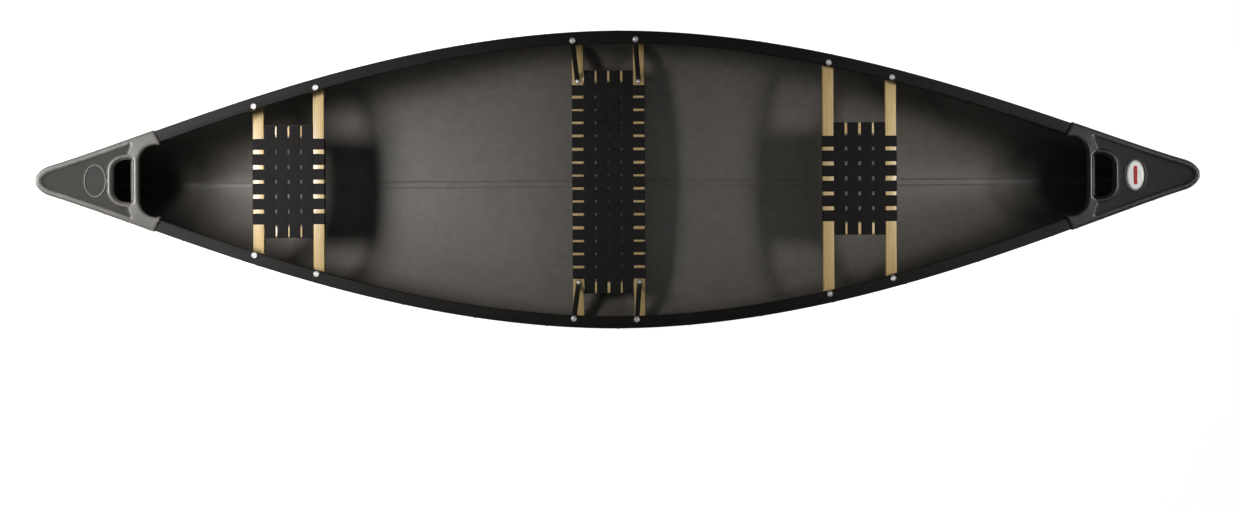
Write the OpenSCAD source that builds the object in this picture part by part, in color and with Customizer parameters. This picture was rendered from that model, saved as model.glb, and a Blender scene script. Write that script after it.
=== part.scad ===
// Two-seat open canoe with a low third seat amidships.
// +X points to the bow, +Y to port, +Z up. The origin is amidships on the centreline, at the
// underside of the keel. All sizes are millimetres.

/* [Hull] */
// Overall length from nose to nose
canoe_l = 4040; // [3700:10:4850]
// Beam over the gunwales amidships
beam = 1060; // [900:4:1272]
// Depth from the top of the gunwale to the keel amidships
mid_depth = 370; // [310:5:440]
// Height of the two noses over the keel
end_height = 520; // [450:5:620]
// Thickness of the hull wall
hull_wall = 6.5; // [5:0.5:8]
// Solid thickness of the stems, measured along the hull
stem_wall = 22; // [15:1:35]
// Half breadth of the rounded noses over the gunwales
end_half = 35; // [28:1:45]
// Length of each rounded nose
nose_len = 49; // [40:1:60]
// Width of the moulded keel strip
keel_w = 20; // [14:1:30]
// How far the keel strip stands below the bottom
keel_depth = 5; // [3:0.5:8]
// Depth of the groove that the keel strip leaves inside
groove_depth = 2.5; // [1:0.5:4]
// Half length of the straight run of the keel
flat_keel = 900; // [700:10:1000]
// Rise of the keel from its straight run to the forefoot
rocker = 10; // [5:1:20]

/* [Gunwales] */
// Width of the gunwale over both legs
gunwale_w = 44; // [38:0.4:52.8]
// Wall of the gunwale extrusion
gunwale_wall = 4; // [3:0.5:5]
// Depth of the outer leg
outer_leg = 30; // [26:1:38]
// Depth of the inner leg
inner_leg = 22; // [22:1:30]
// Height of the stiffener channel inside the gunwale
stiffener_h = 18; // [15:1:18]
// Wall of the stiffener channel
stiffener_wall = 2.5; // [2:0.5:4]
// Distance from each nose to the end of the gunwale
gunwale_end = 120; // [90:5:160]
// Spacing of the gunwale rivets
rivet_pitch = 255; // [200:5:320]
// Depth of the gunwale rivets below the top of the gunwale
rivet_drop = 14; // [12:1:16]
// Shank diameter of the rivets
rivet_d = 4.5; // [3.5:0.1:5]
// Head diameter of the rivets
rivet_head_d = 9; // [8:0.5:11]

/* [Deck plates] */
// Nose to shoulder of the bow deck plate
bow_deck_l = 425; // [380:5:470]
// Nose to shoulder of the stern deck plate
stern_deck_l = 395; // [380:5:470]
// Thickness of the deck plates
deck_t = 4; // [3:0.5:6]
// How far the deck skirt stands outside the gunwale
deck_over = 4; // [3.5:0.5:6]
// Depth of the deck skirt below the top of the gunwale
deck_skirt = 34; // [31:1:42]
// Crown of the deck plate at its grip
deck_crown = 10; // [4:1:16]
// Slant of each deck shoulder along the hull
shoulder_slant = 22; // [10:1:30]
// Shoulder to the midship side of the grip
grip_inset = 47; // [40:1:60]
// Radius of the carrying grip
grip_r = 12; // [10:0.5:14]
// Length of the hand hole along the hull
hand_hole_l = 71; // [60:1:80]
// Width of the hand hole at the grip
hand_hole_w = 160; // [130:2:170]
// Width of the hand hole at its nose side
hand_hole_nose_w = 136; // [100:2:150]
// Radius of the hand hole's nose side corners
hand_hole_nose_r = 42; // [20:1:45]
// Radius of the corners of the cut-out behind the grip
notch_r = 55; // [35:1:60]
// Length of the oval badge along the hull
badge_l = 58; // [40:1:70]
// Width of the oval badge
badge_w = 104; // [80:1:110]

/* [Seats] */
// Width of the ash rails and stretchers
rail_w = 40; // [34:1:46]
// Height of the ash rails and stretchers
rail_h = 20; // [16:1:26]
// Stern nose to the middle of the stern seat
stern_seat_from_nose = 845; // [820:5:1000]
// Bow nose to the middle of the bow seat
bow_seat_from_nose = 1157; // [1000:5:1250]
// Middle of the centre seat, forward of amidships
centre_seat_x = -33; // [-60:1:60]
// Depth of the stern seat rails below the gunwale
stern_seat_drop = 65.5; // [60:0.5:90]
// Depth of the bow seat rails below the gunwale
bow_seat_drop = 35; // [34:0.5:60]
// Depth of the centre seat rails below the gunwale
centre_seat_drop = 190; // [150:1:210]
// Spacing of the two stern seat rails
stern_rail_pitch = 215; // [205:1:235]
// Spacing of the two bow seat rails
bow_rail_pitch = 223; // [205:1:235]
// Spacing of the two centre seat rails
centre_rail_pitch = 224; // [205:1:235]
// Centreline to the middle of a stretcher, bow and stern seats
end_stretcher_y = 179; // [170:1:190]
// Centreline to the middle of a stretcher, centre seat
centre_stretcher_y = 387; // [382:1:392]
// Diameter of the dowels in the seat joints
dowel_d = 10; // [8:0.5:12]
// Length of the dowels
dowel_l = 40; // [30:1:50]

/* [Webbing] */
// Width of the webbing straps
strap_w = 38; // [34:1:40]
// Thickness of the webbing
strap_t = 1.8; // [1.2:0.1:2.5]
// Length of strap tucked under a rail
strap_tuck = 28; // [20:1:32]
// Number of straps across the bow and stern seats
end_cross_count = 6; // [4:1:6]
// Spacing of the straps across the bow and stern seats
end_cross_pitch = 53; // [45:1:53]
// Number of straps across the centre seat
centre_cross_count = 15; // [9:1:15]
// Spacing of the straps across the centre seat
centre_cross_pitch = 48; // [42:1:48]
// Number of straps along each seat
long_count = 4; // [2:1:4]
// Spacing of the straps along the stern seat
stern_long_pitch = 45; // [42:0.5:45]
// Spacing of the straps along the bow and centre seats
long_pitch = 47.5; // [42:0.5:48]

/* [Seat hardware] */
// Gunwale edge to the middle of a seat bolt
bolt_inset = 32; // [28:0.5:34]
// Shank diameter of the seat bolts
bolt_d = 6.3; // [5:0.1:8]
// Head diameter of the seat bolts
bolt_head_d = 14; // [11:0.5:16]
// Outer diameter of the cup washers
cup_d = 21; // [18:0.5:24]
// Outer diameter of the flat washers
washer_d = 18; // [15:0.5:20]
// Thickness of the flat washers
washer_t = 1.6; // [1:0.1:2]
// Lock nut size across its flats
nut_af = 11; // [10:0.5:13]
// Height of the lock nuts
nut_h = 8; // [5:0.5:10]
// Outer diameter of the spacer tubes
spacer_d = 16; // [12:0.5:18]
// Width of the centre seat's hanger braces
brace_w = 18; // [15:1:22]
// Thickness of the hanger braces
brace_t = 5; // [3:0.5:6]
// How far each brace leans aft between its two bolts
brace_lean = 13; // [0:1:20]
// Centreline to the bolts through the centre seat rails
rail_bolt_y = 368; // [367:0.5:369]

/* [Hidden] */

$fn = 48;
port = 1;
starboard = -1;
bow = 1;
stern = -1;

// Clearances: between stacked pieces, round the stiffener, round a bolt or rivet, round a
// dowel or staple, round webbing, at a rail's end, and how far a cutting shape runs past the
// surface that it cuts
gap = 0.4;
stiffener_gap = 0.9;
hole_gap = 0.3;
fit_gap = 0.1;
web_gap = 0.15;
end_gap = 3;
over = 20;

half_l = canoe_l / 2;
deck_gap = 0.5;
sheer_rise = end_height - mid_depth - deck_gap - deck_t;

// Plan, sheer and section of the hull ------------------------------------------------------

// Half breadth of the straight-sided part of the plan, without the rounded nose
function body_half(x) =
    (beam / 2 - end_half) * pow(1 - pow(min(abs(x) / half_l, 1), 1.9), 1.17);
function plan_slope(x) = (body_half(x + 0.5) - body_half(x - 0.5));
// Quarter circle that rounds a nose, from 0 at the tip to 1 behind it
function nose_ramp(d) = sqrt(1 - pow(1 - min(max(d, 0) / nose_len, 1), 2));
// Half breadth of a line that runs `inset` inside the gunwale's edge and ends at x = tip
function plan_half(x, inset = 0, tip = half_l) =
    body_half(x) + (end_half - inset) * nose_ramp(tip - abs(x))
    - inset * (sqrt(1 + pow(plan_slope(x), 2)) - 1);
// Top of the gunwale
function sheer(x) = mid_depth + sheer_rise * pow(min(abs(x) / half_l, 1), 2.6);
function rim(x) = sheer(x) - gunwale_wall - gap;

// The hull ends this far inside the noses of the deck plates
nose_gap = 6;
hull_inset = gunwale_wall + gap;
hull_tip = half_l - nose_gap;
inner_inset = hull_inset + hull_wall;
inner_tip = hull_tip - stem_wall;

// Keel profile: a straight run, the rocker, then a forefoot curve up to the straight stem.
// Its points are [distance from the tip, height].
forefoot_start = 440;
stem_foot = [48, end_height * 0.51];
function forefoot(u, dx, dz) =
    let (
        a = [forefoot_start, rocker + dz],
        b = [170 - 0.4 * dx, rocker + 8 + dz],
        c = [84 + 0.3 * dx, 90 + dz],
        d = [stem_foot[0] + 0.3 * dx, stem_foot[1]]
    )
    pow(1 - u, 3) * a + 3 * u * pow(1 - u, 2) * b + 3 * u * u * (1 - u) * c + pow(u, 3) * d;
function keel_z(x) =
    rocker * pow(max(abs(x) - flat_keel, 0) / (half_l - forefoot_start - flat_keel), 2);

keel_steps = 18;
foot_steps = 8;
stem_steps = 4;
stem_end_gap = 1;
// Half of the profile from amidships to one tip, as [x, z, share of the full keel strip]
function half_profile(tip, dz) =
    let (
        fore_x = tip - forefoot_start,
        dx = hull_tip - tip,
        top_x = tip - stem_end_gap,
        foot = forefoot(1, dx, dz),
        foot_pt = [tip - foot[0], foot[1]]
    )
    concat(
        [for (i = [0:keel_steps - 1])
            let (x = fore_x * i / keel_steps)
            [x, keel_z(x) + dz, 1 - pow(i / keel_steps, 6)]],
        [for (i = [0:foot_steps])
            let (p = forefoot(i / foot_steps, dx, dz)) [tip - p[0], p[1], 0]],
        [for (i = [1:stem_steps])
            let (u = i / stem_steps)
            [foot_pt[0] + (top_x - foot_pt[0]) * u,
             foot_pt[1] + (rim(top_x) - foot_pt[1]) * u, 0]]
    );
function full_profile(tip, dz) =
    let (h = half_profile(tip, dz))
    concat([for (i = [len(h) - 1:-1:1]) [-h[i][0], h[i][1], h[i][2]]], h);

// Section: (y / half breadth)^n + (depth below the rim / full depth)^m = 1
function section_m(x) = 1.3 + 4.7 * pow(1 - pow(abs(x) / half_l, 2), 1.5);
function section_n(x) = 1.35 + 0.65 * (1 - pow(abs(x) / half_l, 2));
function section_w(k, x) = pow(max(1 - pow(k, section_n(x)), 0), 1 / section_m(x));
function section_k(w, x) = pow(max(1 - pow(w, section_m(x)), 0), 1 / section_n(x));

bottom_steps = 6;
side_steps = 7;
turn_k = 0.86;
// Half of one section, from the keel to the rim, as [y, z]. strip is how far the keel strip
// stands below the section there.
function half_section(x, b, z0, strip) =
    let (
        top = rim(x),
        zk = z0 + strip,
        flat = min(keel_w / 2, 0.3 * b),
        k0 = (flat + strip) / b,
        turn_w = section_w(turn_k, x)
    )
    concat(
        [[0, z0], [flat, z0]],
        [for (i = [0:bottom_steps])
            let (k = k0 + (turn_k - k0) * i / bottom_steps)
            [b * k, top - (top - zk) * section_w(k, x)]],
        [for (i = [1:side_steps])
            let (w = turn_w * (1 - pow(i / side_steps, 1.4)))
            [b * section_k(w, x), top - (top - zk) * w]]
    );
function mirrored(half, x) = concat(
    [for (j = [len(half) - 1:-1:1]) [x, -half[j][0], half[j][1]]],
    [for (p = half) [x, p[0], p[1]]]
);

function outer_line(s) = mirrored(
    half_section(s[0], plan_half(s[0], hull_inset, hull_tip), s[1], keel_depth * s[2]), s[0]);
function inner_line(s) = mirrored(
    half_section(s[0], plan_half(s[0], inner_inset, inner_tip),
                 s[1] - groove_depth * s[2], groove_depth * s[2]), s[0]);
function reversed(v) = [for (i = [len(v) - 1:-1:0]) v[i]];

// Half breadth inside the hull at a height
function room(x, z) =
    let (floor_z = keel_z(x) + keel_depth + hull_wall)
    plan_half(x, inner_inset, inner_tip)
    * section_k(min(max((rim(x) - z) / (rim(x) - floor_z), 0), 1), x);

// Sides of a tube through rings of n points each, as triangles
function tube_sides(rings, n) = [
    for (i = [0:len(rings) - 2], j = [0:n - 1])
        let (a = i * n + j, b = i * n + (j + 1) % n)
        each [[a, b, b + n], [a, b + n, a + n]]
];
// A solid through rings of points, closed by a flat face at each end
module skin(rings) {
    n = len(rings[0]);
    last = (len(rings) - 1) * n;
    polyhedron(
        [for (r = rings) each r],
        concat(tube_sides(rings, n),
               [[for (j = [n - 1:-1:0]) j]], [[for (j = [0:n - 1]) last + j]])
    );
}

// A shell whose rings run out along one line and back along another
module shell_skin(outer, inner) {
    rings = [for (i = [0:len(outer) - 1]) concat(outer[i], reversed(inner[i]))];
    n = len(rings[0]);
    last = (len(rings) - 1) * n;
    cap = [for (j = [0:n / 2 - 2]) each [[j, n - 1 - j, n - 2 - j], [j, n - 2 - j, j + 1]]];
    polyhedron(
        [for (r = rings) each r],
        concat(tube_sides(rings, n), cap, [for (f = cap) reversed(f) + last * [1, 1, 1]])
    );
}

// Puts children at a point on the hull's side, with their +Z outwards along the side's normal
module on_side(x, side, inset, z) {
    translate([x, side * plan_half(x, inset), z])
        rotate([0, 0, side * atan(plan_slope(x))])
            rotate([-90 * side, 0, 0])
                children();
}

// Rivets -----------------------------------------------------------------------------------

rivet_head_h = 2;
rivet_tail = 2;
rivet_grip = inner_inset + stiffener_gap + stiffener_wall + rivet_tail;
deck_rivet_grip = rivet_grip + deck_over;
// Least distance from a gunwale rivet to the nearest deck shoulder
rivet_from_deck = 60;
rivets_each_way = floor((half_l - max(bow_deck_l, stern_deck_l) - rivet_from_deck)
                        / rivet_pitch);
rivet_xs = [for (i = [-rivets_each_way:rivets_each_way]) i * rivet_pitch];
deck_rivet_count = 4;
// Nose to the first deck rivet, and the last deck rivet to the shoulder
deck_rivet_first = 150;
deck_rivet_last = 18;
function deck_rivet_x(end, i) =
    let (run = (end == bow ? bow_deck_l : stern_deck_l) - deck_rivet_last - deck_rivet_first)
    end * (half_l - deck_rivet_first - run * i / (deck_rivet_count - 1));

module rivet(grip) {
    cylinder(d1 = rivet_head_d, d2 = rivet_head_d * 0.55, h = rivet_head_h);
    translate([0, 0, -grip]) cylinder(d = rivet_d, h = grip + rivet_head_h / 2);
}
module rivet_hole() {
    translate([0, 0, -rivet_grip - 1])
        cylinder(d = rivet_d + 2 * hole_gap, h = rivet_grip + 1 + over);
}
module gunwale_rivet_holes(side) {
    for (x = rivet_xs) on_side(x, side, 0, sheer(x) - rivet_drop) rivet_hole();
}
module deck_rivet_holes(end, side) {
    for (i = [0:deck_rivet_count - 1])
        let (x = deck_rivet_x(end, i))
        on_side(x, side, 0, sheer(x) - rivet_drop) rivet_hole();
}
module side_holes(side) {
    gunwale_rivet_holes(side);
    deck_rivet_holes(bow, side);
    deck_rivet_holes(stern, side);
}

module gunwale_rivets(side) {
    color("dimgray")
        for (x = rivet_xs) on_side(x, side, 0, sheer(x) - rivet_drop) rivet(rivet_grip);
}
module deck_rivets(end) {
    color("dimgray")
        for (side = [port, starboard], i = [0:deck_rivet_count - 1])
            let (x = deck_rivet_x(end, i))
            on_side(x, side, 0, sheer(x) - rivet_drop)
                translate([0, 0, deck_over + gap / 2]) rivet(deck_rivet_grip);
}

// Hull -------------------------------------------------------------------------------------

module hull_shell() {
    color("darkgreen")
        difference() {
            shell_skin(
                [for (s = reversed(full_profile(hull_tip, 0))) outer_line(s)],
                [for (s = reversed(full_profile(inner_tip, keel_depth + hull_wall)))
                    inner_line(s)]
            );
            side_holes(port);
            side_holes(starboard);
        }
}

// Gunwales ---------------------------------------------------------------------------------

gunwale_steps = 36;
// Bevel of the gunwale's top edges, and of the corners inside them
edge = 2;
inner_edge = 0.5;
// The stiffener ends this far inside the gunwale
stiffener_end = 5;
gunwale_run = half_l - gunwale_end;
stiffener_in = inner_inset + stiffener_gap;
stiffener_out = gunwale_w - gunwale_wall - stiffener_gap;
stiffener_top = gunwale_wall + stiffener_gap;
stiffener_base = stiffener_top + stiffener_h;

// Sweeps a thin section along the gunwale, `run` each way. Its outer and inner lines are
// [inset, height over the sheer] and run from the outboard end over the section.
module along_gunwale(outer, inner, side, run) {
    xs = [for (i = [-gunwale_steps:gunwale_steps]) -side * run * i / gunwale_steps];
    shell_skin(
        [for (x = xs) [for (p = outer) [x, side * plan_half(x, p[0]), sheer(x) + p[1]]]],
        [for (x = xs) [for (p = inner) [x, side * plan_half(x, p[0]), sheer(x) + p[1]]]]
    );
}

module gunwale(side) {
    wide = gunwale_w;
    wall = gunwale_wall;
    outer = [[0, -outer_leg], [0, -edge], [edge, 0], [wide - edge, 0], [wide, -edge],
             [wide, -inner_leg]];
    inner = [[wall, -outer_leg], [wall, -wall - inner_edge], [wall + inner_edge, -wall],
             [wide - wall - inner_edge, -wall], [wide - wall, -wall - inner_edge],
             [wide - wall, -inner_leg]];
    color("#26221f")
        difference() {
            along_gunwale(outer, inner, side, gunwale_run);
            side_holes(side);
            seat_bolt_holes(side);
        }
}

module gunwale_stiffener(side) {
    wall = stiffener_wall;
    outer = [[stiffener_out, -stiffener_top], [stiffener_out, -stiffener_base],
             [stiffener_in, -stiffener_base], [stiffener_in, -stiffener_top]];
    inner = [[stiffener_out - wall, -stiffener_top],
             [stiffener_out - wall, wall - stiffener_base],
             [stiffener_in + wall, wall - stiffener_base],
             [stiffener_in + wall, -stiffener_top]];
    color("silver")
        difference() {
            along_gunwale(outer, inner, side, gunwale_run - stiffener_end);
            side_holes(side);
            seat_bolt_holes(side);
        }
}

// Seats: where everything goes -------------------------------------------------------------

// A seat is [middle x, rail top z, rail pitch, stretcher y, cross straps, cross pitch,
// long strap pitch, x offset of the gunwale bolts, whether it hangs from braces]
stern_x = -half_l + stern_seat_from_nose;
bow_x = half_l - bow_seat_from_nose;
stern_seat = [stern_x, sheer(stern_x) - stern_seat_drop, stern_rail_pitch, end_stretcher_y,
              end_cross_count, end_cross_pitch, stern_long_pitch, 0, false];
bow_seat = [bow_x, sheer(bow_x) - bow_seat_drop, bow_rail_pitch, end_stretcher_y,
            end_cross_count, end_cross_pitch, long_pitch, 0, false];
centre_seat = [centre_seat_x, sheer(centre_seat_x) - centre_seat_drop, centre_rail_pitch,
               centre_stretcher_y, centre_cross_count, centre_cross_pitch, long_pitch,
               -brace_lean, true];
seats = [stern_seat, bow_seat, centre_seat];
front = 1;
rear = -1;

function rail_x(s, end) = s[0] + end * s[2] / 2;
function bolt_x(s, end) = rail_x(s, end) + s[7];
function bolt_y(s, end) = plan_half(bolt_x(s, end), bolt_inset);
function cross_y(s, i) = (i - (s[4] - 1) / 2) * s[5];
function long_x(s, i) = s[0] + (i - (long_count - 1) / 2) * s[6];

bolt_hole_l = 60;
module seat_bolt_holes(side) {
    for (s = seats, end = [front, rear])
        translate([bolt_x(s, end), side * bolt_y(s, end), sheer(bolt_x(s, end)) - bolt_hole_l])
            cylinder(d = bolt_d + 2 * hole_gap, h = bolt_hole_l + over);
}

// Seat frames ------------------------------------------------------------------------------

module dowel_hole() {
    rotate([0, 90, 0])
        cylinder(d = dowel_d + 2 * fit_gap, h = dowel_l + 1, center = true);
}
dowel_spread = 9;
dowel_in_rail = 14;
// Children at the middle of every dowel of a seat
module at_dowels(s) {
    for (end = [front, rear], side = [port, starboard], d = [-dowel_spread, dowel_spread])
        translate([rail_x(s, end) - end * (rail_w / 2 - dowel_in_rail + dowel_l / 2),
                   side * s[3] + d, s[1] - rail_h / 2])
            rotate([0, 0, end == front ? 180 : 0])
                children();
}

staple_crown = 12;
staple_wire = 1.2;
staple_leg = 7;
// A staple with its crown at z = 0 to -wire and its legs upwards, its crown along Y
module staple(grow = 0) {
    if (grow == 0)
        translate([-staple_wire / 2, -staple_crown / 2, -staple_wire])
            cube([staple_wire, staple_crown, staple_wire]);
    for (d = [-1, 1])
        translate([-staple_wire / 2 - grow, d * (staple_crown - staple_wire) / 2
                   - staple_wire / 2 - grow, -staple_wire * 0.5])
            cube([staple_wire + 2 * grow, staple_wire + 2 * grow,
                  staple_leg + staple_wire * 0.5 + grow]);
}
strap_under = rail_h + web_gap + strap_t;
staple_from_edge = 16;
module at_cross_staples(s) {
    for (end = [front, rear], i = [0:s[4] - 1])
        translate([rail_x(s, end) + end * (rail_w / 2 - staple_from_edge), cross_y(s, i),
                   s[1] - strap_under])
            children();
}
module at_long_staples(s) {
    for (side = [port, starboard], i = [0:long_count - 1])
        translate([long_x(s, i), side * (s[3] + rail_w / 2 - staple_from_edge),
                   s[1] - strap_under])
            rotate([0, 0, 90])
                children();
}

// Thwartwise rail, cut to the hull's slope at both ends
module rail_blank(x, top) {
    ends = [for (d = [-rail_w / 2, rail_w / 2]) [x + d, room(x + d, top - rail_h) - end_gap]];
    translate([0, 0, top - rail_h])
        linear_extrude(rail_h)
            polygon([ends[0], ends[1], [ends[1][0], -ends[1][1]], [ends[0][0], -ends[0][1]]]);
}
module rail(s, end) {
    color("burlywood")
        difference() {
            rail_blank(rail_x(s, end), s[1]);
            at_dowels(s) dowel_hole();
            at_cross_staples(s) staple(grow = fit_gap);
            for (side = [port, starboard])
                translate([rail_x(s, end), side * rail_hole_y(s, end), s[1] - rail_h - over])
                    cylinder(d = bolt_d + 2 * hole_gap, h = rail_h + 2 * over);
        }
}
// The bow and stern seats hang from bolts straight through rail and gunwale, and the centre
// seat from braces with their own bolts
function rail_hole_y(s, end) = s[8] ? rail_bolt_y : bolt_y(s, end);

module stretcher(s, side) {
    l = s[2] - rail_w - 2 * web_gap;
    color("burlywood")
        difference() {
            translate([s[0] - l / 2, side * s[3] - rail_w / 2, s[1] - rail_h])
                cube([l, rail_w, rail_h]);
            at_dowels(s) dowel_hole();
            at_long_staples(s) staple(grow = fit_gap);
        }
}
module dowels(s) {
    color("wheat")
        at_dowels(s) rotate([0, 90, 0]) cylinder(d = dowel_d, h = dowel_l, center = true);
}

// Webbing ----------------------------------------------------------------------------------

long_lift = strap_t + 2 * web_gap;
// A band round a w wide bar or frame of the rail's height, tucked under both its edges
module strap_profile(w, lift) {
    inside = w / 2 + web_gap;
    outside = inside + strap_t;
    difference() {
        translate([-outside, -strap_under])
            square([2 * outside, strap_under + web_gap + lift + strap_t]);
        translate([-inside, -rail_h - web_gap])
            square([2 * inside, rail_h + 2 * web_gap + lift]);
        translate([-w / 2 + strap_tuck, -strap_under - 1])
            square([w - 2 * strap_tuck, strap_under]);
    }
}
module cross_straps(s) {
    color("#1c1a1b")
        difference() {
            for (i = [0:s[4] - 1])
                translate([s[0], cross_y(s, i) + strap_w / 2, s[1]])
                    rotate([90, 0, 0])
                        linear_extrude(strap_w)
                            strap_profile(s[2] + rail_w, 0);
            at_cross_staples(s) staple(grow = fit_gap);
        }
}
module long_straps(s) {
    color("#1c1a1b")
        difference() {
            for (i = [0:long_count - 1])
                translate([long_x(s, i) - strap_w / 2, 0, s[1]])
                    rotate([90, 0, 90])
                        linear_extrude(strap_w)
                            strap_profile(2 * s[3] + rail_w, long_lift);
            at_long_staples(s) staple(grow = fit_gap);
        }
}
module staples(s) {
    color("silver") {
        at_cross_staples(s) staple();
        at_long_staples(s) staple();
    }
}

// Seat hardware ----------------------------------------------------------------------------

cup_h = 3;
cup_wall = 1;
cup_taper = 2;
head_seat = 1;
head_h = 3.2;
recess_w = 1.4;
recess_h = 1.6;
// A dished washer that stands on z = 0
module cup_washer() {
    hole_r = bolt_d / 2 + hole_gap;
    rotate_extrude()
        polygon([
            [hole_r, 0], [cup_d / 2 - cup_wall, 0], [cup_d / 2, cup_wall],
            [cup_d / 2 - cup_taper, cup_h], [cup_d / 2 - cup_taper - cup_wall, cup_h],
            [bolt_head_d / 2 + 2 * hole_gap, head_seat], [hole_r, head_seat]
        ]);
}
// A bolt with a low domed head and a cross recess; z = 0 is under the head, and the shank
// goes down for `l`
module bolt(l) {
    recess_l = bolt_head_d * 0.5;
    difference() {
        union() {
            rotate_extrude()
                polygon([
                    [0, 0], [bolt_head_d / 2, 0], [bolt_head_d / 2, head_h * 0.35],
                    [bolt_head_d * 0.4, head_h * 0.75], [bolt_head_d * 0.25, head_h],
                    [0, head_h]
                ]);
            translate([0, 0, -l]) cylinder(d = bolt_d, h = l + 0.1);
        }
        for (a = [0, 90])
            rotate([0, 0, a])
                translate([-recess_l / 2, -recess_w / 2, head_h - recess_h])
                    cube([recess_l, recess_w, head_h]);
    }
}
module flat_washer() {
    difference() {
        cylinder(d = washer_d, h = washer_t);
        translate([0, 0, -1]) cylinder(d = bolt_d + 2 * hole_gap, h = washer_t + 2);
    }
}
// A lock nut with a round collar below; z = 0 is its upper face
module lock_nut() {
    difference() {
        union() {
            translate([0, 0, -nut_h * 0.7])
                cylinder(d = nut_af / cos(30), h = nut_h * 0.7, $fn = 6);
            translate([0, 0, -nut_h]) cylinder(d = nut_af * 0.86, h = nut_h * 0.4);
        }
        translate([0, 0, -nut_h - 1]) cylinder(d = bolt_d + 2 * fit_gap, h = nut_h + 2);
    }
}

// Children on the gunwale's top at every gunwale bolt of a seat
module at_gunwale_bolts(s) {
    for (end = [front, rear], side = [port, starboard])
        let (x = bolt_x(s, end))
        translate([x, side * bolt_y(s, end), sheer(x)])
            children();
}
// The gunwale's top slopes a little along the hull, so washers stand this far over it
slope_gap = 1.4;
seat_stack = rail_h + gap + washer_t + nut_h;
// Thread that stands out of a nut
thread_end = 2;

module end_seat_bolts(s) {
    color("gainsboro")
        for (end = [front, rear], side = [port, starboard])
            let (x = bolt_x(s, end), top = sheer(x) + slope_gap + head_seat + web_gap)
            translate([x, side * bolt_y(s, end), top])
                bolt(top - s[1] + seat_stack + thread_end);
}
module cup_washers(s) {
    color("gainsboro")
        at_gunwale_bolts(s) translate([0, 0, slope_gap]) cup_washer();
}
module spacers(s) {
    color("#1c1a1b")
        for (end = [front, rear], side = [port, starboard])
            let (x = bolt_x(s, end))
            translate([x, side * bolt_y(s, end), s[1] + gap / 2])
                difference() {
                    h = sheer(x) - stiffener_base - slope_gap - s[1] - gap / 2;
                    cylinder(d = spacer_d, h = h);
                    translate([0, 0, -1]) cylinder(d = bolt_d + 2 * hole_gap, h = h + 2);
                }
}
module end_seat_washers(s) {
    color("gainsboro")
        for (end = [front, rear], side = [port, starboard])
            translate([bolt_x(s, end), side * bolt_y(s, end),
                       s[1] - rail_h - gap / 2 - washer_t])
                flat_washer();
}
module end_seat_nuts(s) {
    color("gainsboro")
        for (end = [front, rear], side = [port, starboard])
            translate([bolt_x(s, end), side * bolt_y(s, end),
                       s[1] - rail_h - gap / 2 - washer_t - gap / 4])
                lock_nut();
}

// Centre seat hangers: flat bars bent into a tab at each end -------------------------------

function brace_top(end) = sheer(bolt_x(centre_seat, end)) - stiffener_base - slope_gap;
// Length of a brace's flat ends, and how much further the bends reach on their outside
brace_flat = 11;
brace_bend = 2;
module brace(end, side) {
    s = centre_seat;
    foot = [rail_x(s, end), side * rail_bolt_y, s[1] + gap / 2];
    head = [bolt_x(s, end), side * bolt_y(s, end), brace_top(end)];
    run = norm([head[0] - foot[0], head[1] - foot[1]]);
    rise = head[2] - foot[2] - brace_t;
    turn = atan2(head[1] - foot[1], head[0] - foot[0]);
    translate(foot)
        rotate([0, 0, turn])
            difference() {
                union() {
                    rotate([90, 0, 0])
                        linear_extrude(brace_w, center = true)
                            polygon([
                                [0, 0], [brace_flat + brace_bend, 0],
                                [run - brace_flat, rise], [run, rise], [run, rise + brace_t],
                                [run - brace_flat - brace_bend, rise + brace_t],
                                [brace_flat, brace_t], [0, brace_t]
                            ]);
                    cylinder(d = brace_w, h = brace_t);
                    translate([run, 0, rise]) cylinder(d = brace_w, h = brace_t);
                }
                translate([0, 0, -over]) cylinder(d = bolt_d + 2 * hole_gap, h = 2 * over);
                translate([run, 0, rise - over])
                    cylinder(d = bolt_d + 2 * hole_gap, h = 2 * over);
            }
}
module centre_seat_braces() {
    color("#1c1a1b")
        for (end = [front, rear], side = [port, starboard]) brace(end, side);
}
module centre_seat_gunwale_bolts() {
    s = centre_seat;
    color("gainsboro")
        for (end = [front, rear], side = [port, starboard])
            let (x = bolt_x(s, end), top = sheer(x) + slope_gap + head_seat + web_gap)
            translate([x, side * bolt_y(s, end), top])
                bolt(top - brace_top(end) + brace_t + nut_h + thread_end);
}
module centre_seat_gunwale_nuts() {
    s = centre_seat;
    color("gainsboro")
        for (end = [front, rear], side = [port, starboard])
            translate([bolt_x(s, end), side * bolt_y(s, end), brace_top(end) - brace_t - gap / 2])
                lock_nut();
}
module at_rail_bolts() {
    s = centre_seat;
    for (end = [front, rear], side = [port, starboard])
        translate([rail_x(s, end), side * rail_bolt_y, s[1]])
            children();
}
module centre_seat_rail_bolts() {
    top = gap + brace_t;
    color("gainsboro")
        at_rail_bolts() translate([0, 0, top]) bolt(top + seat_stack + thread_end);
}
module centre_seat_rail_washers() {
    color("gainsboro")
        at_rail_bolts() translate([0, 0, -rail_h - gap / 2 - washer_t]) flat_washer();
}
module centre_seat_rail_nuts() {
    color("gainsboro")
        at_rail_bolts() translate([0, 0, -rail_h - gap / 2 - washer_t - gap / 4]) lock_nut();
}

// Deck plates: modelled with the nose at +X, as [distance from the nose] --------------------

deck_steps = 18;
deck_corner = 2.5;
// Distances from the nose, denser round the nose itself
function deck_stations(from, to) =
    [for (i = [0:deck_steps]) from + (to - from) * pow(i / deck_steps, 1.7)];
function crown_at(d, l) = deck_crown * pow(min(d / (l - grip_inset), 1), 1.5);
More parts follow.
